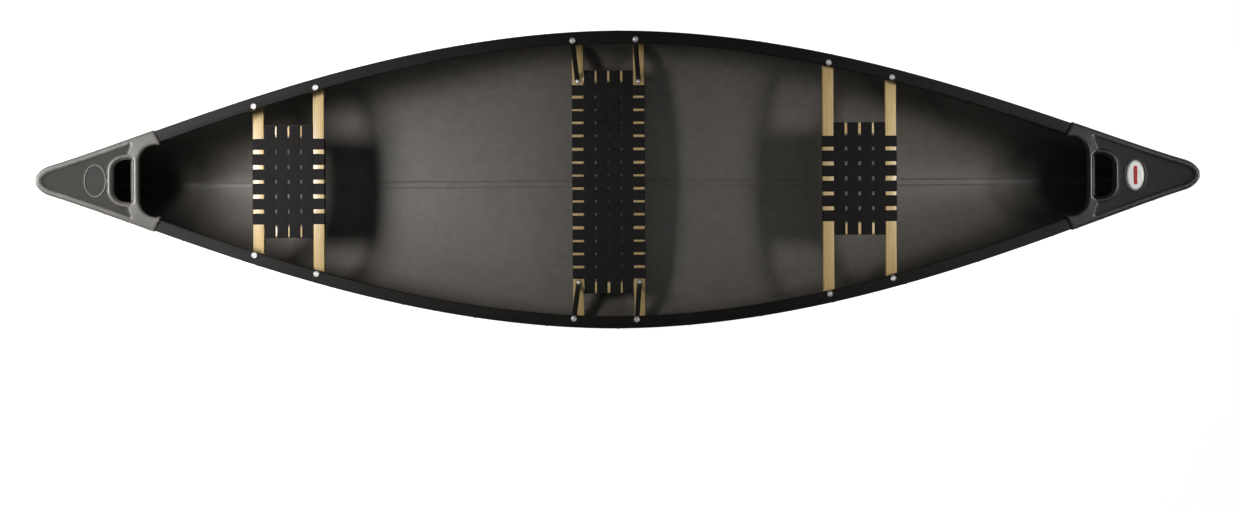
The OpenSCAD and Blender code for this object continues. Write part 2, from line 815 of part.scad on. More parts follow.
// One ring: skirt edge, shoulder and crowned top, from port to starboard
function deck_ring(d, l, inset, low, high) =
    let (
        x = half_l - d,
        w = plan_half(x, inset, half_l - deck_over - inset),
        z = sheer(x) + deck_gap + high,
        c = min(deck_corner, w * 0.3)
    )
    [for (p = [
        [w, low], [w, z - c], [w - c, z], [0.75 * (w - c), z], [0.4 * (w - c), z],
        [-0.4 * (w - c), z], [-0.75 * (w - c), z], [c - w, z], [-w, z - c], [-w, low]
    ]) [x, p[0], p[1] == low ? sheer(x) - low
                             : p[1] + crown_at(d, l) * (1 - pow(min(abs(p[0]) / w, 1), 2))]];
nose_start = 0.8;
// How far the grip stands out of the plate on both sides
grip_lap = 2.5;
hand_hole_r = 12;
// Side land beside the cut-out behind the grip
notch_land = 4;
module deck_body(l, inset, low, high) {
    skin([for (d = deck_stations(nose_start + deck_over + inset, l + shoulder_slant + over))
        deck_ring(d, l, inset, low, high)]);
}

module hand_hole(l) {
    rear_x = half_l - l + grip_inset + 2 * grip_r - grip_lap;
    rear_r = hand_hole_r;
    nose_r = hand_hole_nose_r;
    translate([0, 0, mid_depth])
        linear_extrude(end_height)
            hull()
                for (side = [port, starboard]) {
                    translate([rear_x + rear_r, side * (hand_hole_w / 2 - rear_r)])
                        circle(rear_r, $fn = 32);
                    translate([rear_x + hand_hole_l - nose_r,
                               side * (hand_hole_nose_w / 2 - nose_r)])
                        circle(nose_r, $fn = 32);
                }
}
module rear_notch(l) {
    grip_x = half_l - l + grip_inset + grip_lap;
    end_x = half_l - l - shoulder_slant - 2 * over;
    side_y = plan_half(grip_x - notch_r, gunwale_w) - notch_r - notch_land;
    translate([0, 0, mid_depth])
        linear_extrude(end_height)
            hull()
                for (side = [port, starboard]) {
                    translate([grip_x - notch_r, side * side_y]) circle(notch_r, $fn = 48);
                    translate([end_x, side * plan_half(end_x, gunwale_w)])
                        circle(1, $fn = 16);
                }
}
module shoulder_cut(l) {
    x0 = half_l - l;
    w = plan_half(x0, -2 * over);
    translate([0, 0, mid_depth - 3 * over])
        linear_extrude(end_height)
            polygon([
                [x0 + shoulder_slant, w], [x0 - shoulder_slant, w - gunwale_w - 2 * over],
                [x0 - shoulder_slant, gunwale_w + 2 * over - w], [x0 + shoulder_slant, -w],
                [x0 - 10 * over, -w], [x0 - 10 * over, w]
            ]);
}
module deck_plate(end) {
    l = end == bow ? bow_deck_l : stern_deck_l;
    grip_x = half_l - l + grip_inset + grip_r;
    color("#33312f")
        difference() {
            rotate([0, 0, end == bow ? 0 : 180]) {
                difference() {
                    deck_body(l, -deck_over, deck_skirt, deck_t);
                    deck_body(l, -deck_gap, deck_skirt + over, 0);
                    hand_hole(l);
                    rear_notch(l);
                    shoulder_cut(l);
                }
                translate([grip_x, 0, sheer(grip_x) + deck_gap + deck_t + deck_crown - grip_r])
                    rotate([90, 0, 0])
                        cylinder(r = grip_r, h = hand_hole_w + 2 * grip_lap, center = true);
            }
            for (side = [port, starboard]) deck_rivet_holes(end, side);
        }
}
badge_t = 0.8;
// Place of the badge from the nose, as a share of the deck plate's length
badge_at = 0.505;
module bow_deck_badge() {
    d = badge_at * bow_deck_l;
    x = half_l - d;
    reach = 10;
    slope = (sheer(x + reach) - sheer(x - reach)
             - crown_at(d + reach, bow_deck_l) + crown_at(d - reach, bow_deck_l)) / (2 * reach);
    points = 40;
    color("white")
        translate([x, 0, sheer(x) + deck_gap + deck_t + crown_at(d, bow_deck_l) + gap])
            rotate([0, -atan(slope), 0])
                linear_extrude(badge_t)
                    polygon([for (i = [0:points - 1])
                        let (a = 360 * i / points)
                        [badge_l / 2 * cos(a), badge_w / 2 * sin(a)]]);
}

hull_shell();  // hull
gunwale(port);  // gunwale_port
gunwale(starboard);  // gunwale_starboard
gunwale_stiffener(port);  // gunwale_stiffener_port
gunwale_stiffener(starboard);  // gunwale_stiffener_starboard
gunwale_rivets(port);  // gunwale_rivets_port
gunwale_rivets(starboard);  // gunwale_rivets_starboard
deck_plate(bow);  // bow_deck_plate
deck_plate(stern);  // stern_deck_plate
deck_rivets(bow);  // bow_deck_rivets
deck_rivets(stern);  // stern_deck_rivets
bow_deck_badge();
rail(stern_seat, front);  // stern_seat_front_rail
rail(stern_seat, rear);  // stern_seat_rear_rail
stretcher(stern_seat, port);  // stern_seat_port_stretcher
stretcher(stern_seat, starboard);  // stern_seat_starboard_stretcher
dowels(stern_seat);  // stern_seat_dowels
cross_straps(stern_seat);  // stern_seat_cross_straps
long_straps(stern_seat);  // stern_seat_long_straps
staples(stern_seat);  // stern_seat_staples
end_seat_bolts(stern_seat);  // stern_seat_bolts
cup_washers(stern_seat);  // stern_seat_cup_washers
spacers(stern_seat);  // stern_seat_spacers
end_seat_washers(stern_seat);  // stern_seat_flat_washers
end_seat_nuts(stern_seat);  // stern_seat_lock_nuts
rail(bow_seat, front);  // bow_seat_front_rail
rail(bow_seat, rear);  // bow_seat_rear_rail
stretcher(bow_seat, port);  // bow_seat_port_stretcher
stretcher(bow_seat, starboard);  // bow_seat_starboard_stretcher
dowels(bow_seat);  // bow_seat_dowels
cross_straps(bow_seat);  // bow_seat_cross_straps
long_straps(bow_seat);  // bow_seat_long_straps
staples(bow_seat);  // bow_seat_staples
end_seat_bolts(bow_seat);  // bow_seat_bolts
cup_washers(bow_seat);  // bow_seat_cup_washers
spacers(bow_seat);  // bow_seat_spacers
end_seat_washers(bow_seat);  // bow_seat_flat_washers
end_seat_nuts(bow_seat);  // bow_seat_lock_nuts
rail(centre_seat, front);  // centre_seat_front_rail
rail(centre_seat, rear);  // centre_seat_rear_rail
stretcher(centre_seat, port);  // centre_seat_port_stretcher
stretcher(centre_seat, starboard);  // centre_seat_starboard_stretcher
dowels(centre_seat);  // centre_seat_dowels
cross_straps(centre_seat);  // centre_seat_cross_straps
long_straps(centre_seat);  // centre_seat_long_straps
staples(centre_seat);  // centre_seat_staples
centre_seat_braces();
centre_seat_gunwale_bolts();
cup_washers(centre_seat);  // centre_seat_cup_washers
centre_seat_gunwale_nuts();
centre_seat_rail_bolts();
centre_seat_rail_washers();
centre_seat_rail_nuts();
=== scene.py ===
import math
import random

import bpy
from mathutils import Matrix, Vector
from mathutils.geometry import delaunay_2d_cdt


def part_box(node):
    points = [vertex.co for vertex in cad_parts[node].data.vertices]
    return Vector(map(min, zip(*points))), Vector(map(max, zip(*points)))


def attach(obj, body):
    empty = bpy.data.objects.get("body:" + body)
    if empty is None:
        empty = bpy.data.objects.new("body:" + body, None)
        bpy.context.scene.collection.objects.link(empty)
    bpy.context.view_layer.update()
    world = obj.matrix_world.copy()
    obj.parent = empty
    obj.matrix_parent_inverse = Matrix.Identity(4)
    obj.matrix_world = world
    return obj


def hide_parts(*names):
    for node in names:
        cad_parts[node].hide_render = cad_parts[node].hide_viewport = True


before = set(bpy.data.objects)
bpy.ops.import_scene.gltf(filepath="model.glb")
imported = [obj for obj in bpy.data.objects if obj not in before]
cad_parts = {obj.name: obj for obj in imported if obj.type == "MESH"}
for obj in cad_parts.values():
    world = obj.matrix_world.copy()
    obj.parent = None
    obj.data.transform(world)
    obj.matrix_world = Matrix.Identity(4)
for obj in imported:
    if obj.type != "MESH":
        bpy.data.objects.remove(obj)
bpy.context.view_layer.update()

# ---- Sizes, in metres. +X is the bow, +Y is port and +Z is up, with the keel at z = 0. ----

DECK_START = 0.0008
HALF_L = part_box("bow_deck_plate")[1][0] + DECK_START
HALF_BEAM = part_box("gunwale_port")[1][1]
MID_DEPTH = 0.370
END_HEIGHT = 0.520
DECK_T = 0.004
DECK_GAP = 0.0005
SHEER_RISE = END_HEIGHT - MID_DEPTH - DECK_T - DECK_GAP

END_HALF = 0.035
NOSE_L = 0.049
HULL_WALL = 0.0065
STEM_WALL = 0.022
HULL_TIP = HALF_L - 0.006
KEEL_W = 0.020
KEEL_DEPTH = 0.005
GROOVE_DEPTH = 0.0025
FLAT_KEEL = 0.900
ROCKER = 0.010
FOREFOOT = 0.440

GUNWALE_W = 0.044
GUNWALE_WALL = 0.004
RIM_GAP = 0.0004
OUTER_LEG = 0.030
INNER_LEG = 0.022
GUNWALE_END = 0.120
RIVET_PITCH = 0.255
RIVETS_EACH_WAY = 6
RIVET_DROP = 0.014
RIVET_R = 0.0045
DECK_RIVETS = 4
DECK_RIVET_NOSE = 0.150
DECK_RIVET_BACK = 0.018

BOW_DECK_L = 0.425
STERN_DECK_L = 0.395
DECK_OVER = 0.004
DECK_SKIRT = 0.034
DECK_CROWN = 0.010
DECK_WALL = 0.0028
SHOULDER_REACH = 0.040
SHOULDER_DROP_TO = 0.0032
EDGE_GAP = 0.003
SHOULDER_SLANT = 0.022
GRIP_INSET = 0.047
GRIP_W = 0.024
HOLE_L = 0.071
HOLE_HALF_W = 0.080
HOLE_NOSE_HALF_W = 0.068
HOLE_NOSE_R = 0.042
NOTCH_R = 0.055
RING_AT = 0.505

STRAP_W = 0.0392
STRAP_T = 0.0018
STRAP_TUCK = 0.028
STRAP_OFF = STRAP_T * 0.62
WEAVE_LIFT = STRAP_T * 0.56
STRAP_STEP = 0.004
CROSSING_EASE = 0.032
HALF_BADGE = (0.029, 0.052)
RING_HALF = (0.0355, 0.0555)
RING_WIDTH = 0.072
RING_CLEAR = 0.11
RING_STEPS = 96

PORT, STARBOARD = 1, -1
SIDES = ((PORT, "port"), (STARBOARD, "starboard"))
BOW, STERN = 1, -1


def clamp(v, low=0.0, high=1.0):
    return min(max(v, low), high)


def smooth(u):
    u = clamp(u)
    return u * u * (3 - 2 * u)


def mix(a, b, u):
    return a + (b - a) * u


# ---- The canoe's lines, as in the CAD model ----

PLAN_TAPER = 1.9
PLAN_FINENESS = 1.17
SHEER_POWER = 2.6


def body_half(x):
    """Half breadth of the plan without its rounded noses."""
    return (HALF_BEAM - END_HALF) * (1 - clamp(abs(x) / HALF_L) ** PLAN_TAPER) ** PLAN_FINENESS


def plan_slope(x):
    step = 0.0005
    return (body_half(x + step) - body_half(x - step)) / (2 * step)


def nose_ramp(d):
    """Quarter circle that rounds a nose, from 0 at its tip to 1 behind it."""
    return math.sqrt(1 - (1 - clamp(d / NOSE_L)) ** 2)


def plan_half(x, inset=0.0, tip=HALF_L):
    """Half breadth of a line that runs inset inside the gunwale's edge."""
    slant = math.sqrt(1 + plan_slope(x) ** 2) - 1
    return body_half(x) + (END_HALF - inset) * nose_ramp(tip - abs(x)) - inset * slant


def sheer(x):
    """Height of the gunwale's top."""
    return MID_DEPTH + SHEER_RISE * clamp(abs(x) / HALF_L) ** SHEER_POWER


def rim(x):
    return sheer(x) - GUNWALE_WALL - RIM_GAP


def keel_z(x):
    return ROCKER * (max(abs(x) - FLAT_KEEL, 0) / (HALF_L - FOREFOOT - FLAT_KEEL)) ** 2


def forefoot(u, dx, dz):
    """The curve from the keel up to the stem, as (distance from the tip, height)."""
    a = (FOREFOOT, ROCKER + dz)
    b = (0.170 - 0.4 * dx, ROCKER + 0.008 + dz)
    c = (0.084 + 0.3 * dx, 0.090 + dz)
    d = (0.048 + 0.3 * dx, END_HEIGHT * 0.51)
    weights = ((1 - u) ** 3, 3 * u * (1 - u) ** 2, 3 * u * u * (1 - u), u ** 3)
    return [sum(w * p[i] for w, p in zip(weights, (a, b, c, d))) for i in (0, 1)]


def section_m(x):
    return 1.3 + 4.7 * (1 - (x / HALF_L) ** 2) ** 1.5


def section_n(x):
    return 1.35 + 0.65 * (1 - (x / HALF_L) ** 2)


# ---- Mesh helpers ----

def add_object(name, data):
    made = bpy.data.objects.new(name, data)
    bpy.context.scene.collection.objects.link(made)
    return made


def add_piece(name, verts, faces, materials, sharp, face_materials=None):
    """A smooth-shaded piece that rides on the root body."""
    mesh = bpy.data.meshes.new(name)
    mesh.from_pydata([tuple(v) for v in verts], [], faces)
    mesh.validate()
    for material in materials:
        mesh.materials.append(material)
    if face_materials:
        mesh.polygons.foreach_set("material_index", face_materials)
    mesh.shade_smooth()
    mesh.set_sharp_from_angle(angle=math.radians(sharp))
    piece = add_object(name, mesh)
    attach(piece, "root")
    return piece


def grid_faces(rows, columns, start=0, closed=False, flip=False):
    """Quads between rows of points; closed joins the last column to the first."""
    faces = []
    for i in range(rows - 1):
        for j in range(columns if closed else columns - 1):
            a = start + i * columns + j
            b = start + i * columns + (j + 1) % columns
            face = (a, b, b + columns, a + columns)
            faces.append(face[::-1] if flip else face)
    return faces


def tube_faces(rows, columns, flip=False):
    """The sides of a tube between rows of points, and its two flat ends."""
    last = (rows - 1) * columns
    ends = tuple(range(columns))[::-1], tuple(range(last, last + columns))
    if flip:
        ends = ends[0][::-1], ends[1][::-1]
    return grid_faces(rows, columns, closed=True, flip=flip) + list(ends)


def fillet(corners, radii, steps):
    """A closed outline through corners, each rounded to its radius."""
    points = []
    for i, corner in enumerate(corners):
        corner = Vector(corner)
        before = (Vector(corners[i - 1]) - corner).normalized()
        after = (Vector(corners[(i + 1) % len(corners)]) - corner).normalized()
        radius = radii[i]
        half = before.angle(after) / 2
        reach = radius / math.tan(half)
        centre = corner + (before + after).normalized() * (radius / math.sin(half))
        start = corner + before * reach - centre
        end = corner + after * reach - centre
        for k in range(steps + 1):
            arm = start.slerp(end, k / steps, start)
            points.append(centre + arm.normalized() * radius)
    return points


def bar_section(width, height, radius, steps):
    """A rectangle round the origin with rounded corners."""
    w, h = width / 2, height / 2
    return fillet([(-w, -h), (w, -h), (w, h), (-w, h)], [radius] * 4, steps)


def densify(line, step, closed=True):
    """The same line with no stretch longer than step."""
    points = []
    count = len(line) if closed else len(line) - 1
    for i in range(count):
        a, b = Vector(line[i]), Vector(line[(i + 1) % len(line)])
        if (b - a).length < step * 0.2:
            continue
        parts = max(1, math.ceil((b - a).length / step))
        points += [a.lerp(b, k / parts) for k in range(parts)]
    if not closed:
        points.append(Vector(line[-1]))
    return points


def lathe(profile, place, segments):
    """Points and faces of a turned solid; profile is (radius, height), place a matrix."""
    verts = []
    for radius, height in profile:
        for k in range(segments):
            a = 2 * math.pi * k / segments
            verts.append(place @ Vector((radius * math.cos(a), radius * math.sin(a), height)))
    return verts, tube_faces(len(profile), segments)


def join_parts(parts):
    """One list of points and one of faces from several (points, faces) pairs."""
    verts, faces = [], []
    for part_verts, part_faces in parts:
        start = len(verts)
        verts += part_verts
        faces += [tuple(i + start for i in face) for face in part_faces]
    return verts, faces


def add_joined(name, parts, material, sharp, node):
    """One piece made of several parts, in place of a CAD node."""
    verts, faces = join_parts(parts)
    piece = add_piece(name, verts, faces, [material], sharp)
    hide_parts(node)


# ---- Materials ----

class Surface:
    """A Principled material with a few procedural helpers."""

    def __init__(self, name, roughness, **constants):
        self.material = bpy.data.materials.new(name)
        self.material.use_nodes = True
        self.tree = self.material.node_tree
        self.shader = self.tree.nodes["Principled BSDF"]
        self.shader.inputs["Roughness"].default_value = roughness
        for key, value in constants.items():
            self.shader.inputs[key.replace("_", " ")].default_value = value
        self.height = None

    def node(self, kind, **settings):
        made = self.tree.nodes.new(kind)
        for key, value in settings.items():
            if key in made.inputs:
                made.inputs[key].default_value = value
            else:
                setattr(made, key, value)
        return made

    def link(self, source, target):
        self.tree.links.new(source, target)

    def coordinates(self, stretch=(1, 1, 1)):
        source = self.node("ShaderNodeTexCoord")
        mapping = self.node("ShaderNodeMapping", Scale=stretch)
        self.link(source.outputs["Object"], mapping.inputs["Vector"])
        return mapping.outputs["Vector"]

    def texture(self, kind, output, vector, **settings):
        made = self.node(kind, **settings)
        self.link(vector, made.inputs["Vector"])
        return made.outputs[output]

    def noise(self, vector, scale, detail=4.0, roughness=0.5):
        return self.texture("ShaderNodeTexNoise", "Fac", vector, Scale=scale, Detail=detail,
                            Roughness=roughness)

    def cells(self, vector, scale):
        return self.texture("ShaderNodeTexVoronoi", "Distance", vector, Scale=scale)

    def wave(self, vector, scale, distortion, direction, detail=1.0):
        return self.texture("ShaderNodeTexWave", "Fac", vector, bands_direction=direction,
                            Scale=scale, Distortion=distortion, Detail=detail)

    def ramp(self, factor, stops):
        """Colours by factor; stops are (position, (red, green, blue))."""
        made = self.node("ShaderNodeValToRGB")
        elements = made.color_ramp.elements
        while len(elements) < len(stops):
            elements.new(0.5)
        for element, (position, colour) in zip(elements, stops):
            element.position = position
            element.color = (*colour, 1)
        self.link(factor, made.inputs["Fac"])
        return made.outputs["Color"]

    def two_tone(self, factor, colours):
        """From the first to the second colour over the middle of a noise's range."""
        return self.ramp(factor, list(zip((0.3, 0.7), colours)))

    def spread(self, factor, low, high, from_low=0.0, from_high=1.0):
        made = self.node("ShaderNodeMapRange")
        for key, value in (("From Min", from_low), ("From Max", from_high),
                           ("To Min", low), ("To Max", high)):
            made.inputs[key].default_value = value
        self.link(factor, made.inputs["Value"])
        return made.outputs["Result"]

    def blend(self, factor, first, second, kind="MIX"):
        made = self.node("ShaderNodeMix", data_type="RGBA", blend_type=kind)
        for value, socket in ((factor, made.inputs[0]), (first, made.inputs[6]),
                              (second, made.inputs[7])):
            if hasattr(value, "is_output"):
                self.link(value, socket)
            else:
                socket.default_value = value
        return made.outputs[2]

    def colour(self, source):
        self.link(source, self.shader.inputs["Base Color"])

    def roughness(self, source):
        self.link(source, self.shader.inputs["Roughness"])

    def bump(self, height, distance, strength):
        """Adds a layer of bump; distance is its depth in metres."""
        made = self.node("ShaderNodeBump", Strength=strength, Distance=distance)
        self.link(height, made.inputs["Height"])
        if self.height:
            self.link(self.height, made.inputs["Normal"])
        self.height = made.outputs["Normal"]
        self.link(self.height, self.shader.inputs["Normal"])


def shades(rgb, *factors):
    return [tuple(clamp(c * f) for c in rgb) for f in factors]


def hull_outside():
    """Dark green polyethylene: orange peel, a slow drift of shade and fine long scuffs."""
    s = Surface("hull_green", 0.3, Specular_IOR_Level=0.36, Coat_Weight=0.06,
                Coat_Roughness=0.18)
    at = s.coordinates()
    base = s.two_tone(s.noise(at, 2.2, 3), shades((0.013, 0.040, 0.023), 0.84, 1.16))
    scuffs = s.noise(s.coordinates((5, 5, 260)), 3, 6, 0.7)
    scuffed = s.spread(scuffs, 0, 0.22, 0.62, 0.84)
    s.colour(s.blend(scuffed, base, (0.060, 0.092, 0.070, 1)))
    s.roughness(s.spread(s.noise(at, 26, 5), 0.27, 0.38, 0.3, 0.7))
    s.bump(s.noise(at, 260, 2), 0.00008, 0.4)
    return s.material


def hull_inside():
    """Warm dark grey polyethylene, matt, with a mottled moulded skin."""
    s = Surface("hull_grey", 0.5, Specular_IOR_Level=0.4)
    at = s.coordinates()
    dark, light = shades((0.096, 0.087, 0.076), 0.88, 1.12)
    mottle = s.noise(at, 34, 6, 0.65)
    base = s.ramp(mottle, [(0.32, dark), (0.68, light)])
    cloud = s.noise(at, 3.2, 3)
    s.colour(s.blend(s.spread(cloud, 0, 0.15, 0.4, 0.75), base, (0.060, 0.053, 0.048, 1)))
    s.roughness(s.spread(mottle, 0.42, 0.58, 0.3, 0.7))
    s.bump(s.noise(at, 180, 3), 0.00035, 0.6)
    s.bump(s.noise(at, 700, 2), 0.0001, 0.6)
    return s.material


def gunwale_vinyl():
    """Near-black extruded vinyl with faint lines along its length."""
    s = Surface("gunwale_vinyl", 0.40, Specular_IOR_Level=0.20)
    at = s.coordinates()
    base = s.two_tone(s.noise(at, 9, 4), ((0.0050, 0.0043, 0.0036), (0.0080, 0.0072, 0.0060)))
    drawn = s.noise(s.coordinates((2, 150, 150)), 2.5, 5, 0.7)
    s.colour(s.blend(s.spread(drawn, 0, 0.4, 0.6, 0.85), base, (0.016, 0.015, 0.0135, 1)))
    s.roughness(s.spread(drawn, 0.34, 0.50, 0.3, 0.7))
    s.bump(drawn, 0.00012, 0.4)
    s.bump(s.noise(at, 500, 2), 0.00006, 0.5)
    return s.material


def deck_plastic(name, rim_tone_and_sheen, panel_tone):
    """Moulded plastic: smooth rims and ridges round a recessed panel with a leather grain; a
    light rim tone is painted sheen, and sharp edges get a painted highlight.
    """
    s = Surface(name, 0.4, Specular_IOR_Level=0.5)
    at = s.coordinates()
    panel = s.node("ShaderNodeAttribute", attribute_name="panel").outputs["Fac"]
    drift = s.noise(at, 20, 4)
    tones = [s.two_tone(drift, shades(tone, 0.85, 1.15)) for tone in (rim_tone_and_sheen, panel_tone)]
    base = s.blend(panel, *tones)
    # Sharp convex edges and ridges are lightened to 2.2 times the rim tone: a painted
    # highlight.
    curve = s.node("ShaderNodeNewGeometry").outputs["Pointiness"]
    wear_and_highlight = s.spread(curve, 0, 0.5, 0.52, 0.60)
    s.colour(s.blend(wear_and_highlight, base, tuple(min(1, c * 2.2) for c in rim_tone_and_sheen) + (1,)))
    grain = s.cells(at, 420)
    s.roughness(s.spread(panel, 0.34, 0.56))
    s.link(s.spread(panel, 0.5, 0.22), s.shader.inputs["Specular IOR Level"])
    fine = s.noise(at, 900, 3)
    s.bump(s.blend(panel, fine, grain), 0.0004, 0.5)
    s.bump(s.noise(at, 90, 3), 0.00025, 0.35)
    return s.material


def ash_wood(name, seed, tone=1.0):
    """Varnished ash: growth rings along the length, open pores and a thin clear coat."""
    s = Surface(name, 0.38, Coat_Weight=0.35, Coat_Roughness=0.22)
    along = s.coordinates((1.1, 9, 9))
    shift = s.node("ShaderNodeVectorMath", operation="ADD")
    s.link(along, shift.inputs[0])
    shift.inputs[1].default_value = (seed * 3.7, seed * 1.9, seed * 0.7)
    along = shift.outputs["Vector"]
    warp = s.noise(along, 1.3, 3)
    rings = s.wave(along, 5.5, 7.0, "Y", 2.0)
    tones = shades((0.56, 0.395, 0.168), 0.78 * tone, 0.97 * tone, 1.13 * tone)
    base = s.ramp(rings, [(0.05, tones[0]), (0.4, tones[1]), (0.95, tones[2])])
    patch = s.two_tone(warp, ((0.80, 0.80, 0.80), (1.0, 1.0, 1.0)))
    base = s.blend(1.0, base, patch, "MULTIPLY")
    pores = s.noise(s.coordinates((14, 700, 700)), 1.0, 3, 0.7)
    holes = s.spread(pores, 0, 0.55, 0.58, 0.78)
    s.colour(s.blend(holes, base, (0.24, 0.13, 0.05, 1)))
    s.roughness(s.spread(rings, 0.34, 0.46))
    s.bump(pores, 0.00012, 0.35)
    return s.material


def webbing_nylon():
    """Woven nylon: ribs across the strap, lengthwise yarns and a lighter fuzz."""
    s = Surface("webbing_nylon", 0.74, Specular_IOR_Level=0.2, Sheen_Weight=0.10,
                Sheen_Roughness=0.5)
    strap = s.node("ShaderNodeUVMap", uv_map="strap").outputs["UV"]
    ribs = s.wave(strap, 180, 0.35, "X")
    yarns = s.wave(strap, 110, 0.25, "Y")
    weave = s.blend(0.5, ribs, yarns, "MULTIPLY")
    fuzz = s.noise(s.coordinates(), 900, 3)
    base = s.ramp(weave, [(0.1, (0.0025, 0.0022, 0.0022)), (0.75, (0.0120, 0.0100, 0.0095))])
    s.colour(s.blend(s.spread(fuzz, 0, 0.3, 0.5, 0.8), base, (0.026, 0.022, 0.020, 1)))
    s.bump(weave, 0.0006, 0.8)
    s.bump(fuzz, 0.0001, 0.5)
    return s.material


def metal(name, colour, roughness):
    """Metal with fine turning marks and a slightly uneven polish."""
    s = Surface(name, roughness, Metallic=1.0)
    at = s.coordinates()
    smudge = s.noise(at, 160, 4)
    s.colour(s.two_tone(smudge, shades(colour, 0.86, 1.06)))
    s.roughness(s.spread(smudge, roughness * 0.7, roughness * 1.4, 0.3, 0.7))
    s.bump(s.noise(s.coordinates((1, 1, 9)), 1400, 2), 0.00003, 0.4)
    return s.material


def coating(name, colour, roughness, wear_and_highlight):
    """Paint, powder coat or anodising with fine grain and small worn spots."""
    s = Surface(name, roughness, Specular_IOR_Level=0.5)
    at = s.coordinates()
    base = s.two_tone(s.noise(at, 220, 3), shades(colour, 0.8, 1.2))
    chips = s.spread(s.noise(at, 420, 5, 0.7), 0, 0.6, 0.68, 0.8)
    s.colour(s.blend(chips, base, (*wear_and_highlight, 1)))
    s.roughness(s.spread(s.noise(at, 300, 3), roughness * 0.8, roughness * 1.2, 0.3, 0.7))
    s.bump(s.noise(at, 1500, 2), 0.00004, 0.5)
    return s.material


def enamel(name, colour):
    """Glossy printed enamel of the badge, with faint speckle."""
    s = Surface(name, 0.22, Coat_Weight=0.6, Coat_Roughness=0.08)
    at = s.coordinates()
    s.colour(s.two_tone(s.noise(at, 700, 3), shades(colour, 0.92, 1.05)))
    s.bump(s.noise(at, 300, 2), 0.00003, 0.4)
    return s.material


GREEN = hull_outside()
GREY = hull_inside()
VINYL = gunwale_vinyl()
BOW_PLASTIC = deck_plastic("deck_plastic_bow", (0.0085, 0.0080, 0.0092),
                           (0.0080, 0.0082, 0.0082))
# The stern deck is the same black plastic as the bow deck; its lighter rim and panel tones are
# painted sheen.
STERN_PLASTIC_SHEEN = deck_plastic("deck_plastic_stern", (0.070, 0.066, 0.057),
                             (0.014, 0.0125, 0.0100))
WEBBING = webbing_nylon()
STAINLESS = metal("stainless_steel", (0.82, 0.81, 0.79), 0.40)
ALUMINIUM = metal("mill_aluminium", (0.78, 0.79, 0.80), 0.36)
GALVANISED = metal("staple_wire", (0.62, 0.62, 0.60), 0.34)
BLACK_COAT = coating("black_powder_coat", (0.012, 0.012, 0.012), 0.42, (0.06, 0.058, 0.055))
RIVET_COAT = coating("rivet_anodising", (0.030, 0.030, 0.030), 0.34, (0.25, 0.25, 0.25))
TUBE = coating("spacer_tube", (0.015, 0.015, 0.015), 0.5, (0.03, 0.03, 0.03))
DOWEL_WOOD = ash_wood("dowel_beech", 11, 1.1)
BADGE_RIM = enamel("badge_rim", (0.42, 0.42, 0.40))
BADGE_FIELD = enamel("badge_field", (0.80, 0.80, 0.77))
BADGE_BAR = enamel("badge_bar", (0.36, 0.025, 0.02))

# ---- Hull ----

KEEL_STATIONS = 64
FOOT_STATIONS = 34
STEM_STATIONS = 12
STRIP_STEPS = 9
BOTTOM_STEPS = 24
SIDE_STEPS = 30
TURN_K = 0.86


def half_profile(tip, dz):
    """From amidships to one tip: (x, z, share of the full keel strip)."""
    dx = HULL_TIP - tip
    fore_x = tip - FOREFOOT
    stations = []
    for i in range(KEEL_STATIONS):
        x = fore_x * i / KEEL_STATIONS
        stations.append((x, keel_z(x) + dz, 1 - (i / KEEL_STATIONS) ** 6))
    for i in range(FOOT_STATIONS + 1):
        reach, z = forefoot(i / FOOT_STATIONS, dx, dz)
        stations.append((tip - reach, z, 0))
    foot_x, foot_z, _ = stations[-1]
    top_x = tip - 0.001
    for i in range(1, STEM_STATIONS + 1):
        u = i / STEM_STATIONS
        stations.append((mix(foot_x, top_x, u), mix(foot_z, rim(top_x), u), 0))
    return stations


def half_ring(x, half_width, bottom, strip):
    """Half of a hull section from the keel to the rim, as (y, z)."""
    top = rim(x)
    m, n = section_m(x), section_n(x)
    keel = bottom + strip

    def section_z(k):
        return top - (top - keel) * max(1 - k ** n, 0) ** (1 / m)

    flat = min(KEEL_W / 2, 0.3 * half_width)
    soft = min(0.002, 0.1 * half_width)
    points = [(flat * i / 4, section_z(flat * i / 4 / half_width) - strip) for i in range(3)]
    for i in range(STRIP_STEPS):
        u = i / (STRIP_STEPS - 1)
        y = flat - soft + (strip + 2 * soft) * u
        points.append((y, section_z(y / half_width) - strip * (1 - smooth(u))))
    start = points[-1][0] / half_width
    for i in range(1, BOTTOM_STEPS + 1):
        k = mix(start, TURN_K, i / BOTTOM_STEPS)
        points.append((half_width * k, section_z(k)))
    turn_w = (1 - TURN_K ** n) ** (1 / m)
    for i in range(1, SIDE_STEPS + 1):
        w = turn_w * (1 - (i / SIDE_STEPS) ** 1.4)
        points.append((half_width * (1 - w ** m) ** (1 / n), top - (top - keel) * w))
    return points


def hull_rings(tip, inset, dz, strip_depth, inside):
    """Rings of one face of the hull, from the stern to the bow, starboard to port."""
    half = half_profile(tip, dz)
    stations = [(-x, z, share) for x, z, share in half[:0:-1]] + half
    rings = []
    for x, z, share in stations:
        strip = strip_depth * share
        bottom = z - strip if inside else z
        side = half_ring(x, plan_half(x, inset, tip), bottom, strip)
        rings.append([(x, -y, z) for y, z in side[:0:-1]] + [(x, y, z) for y, z in side])
    return rings


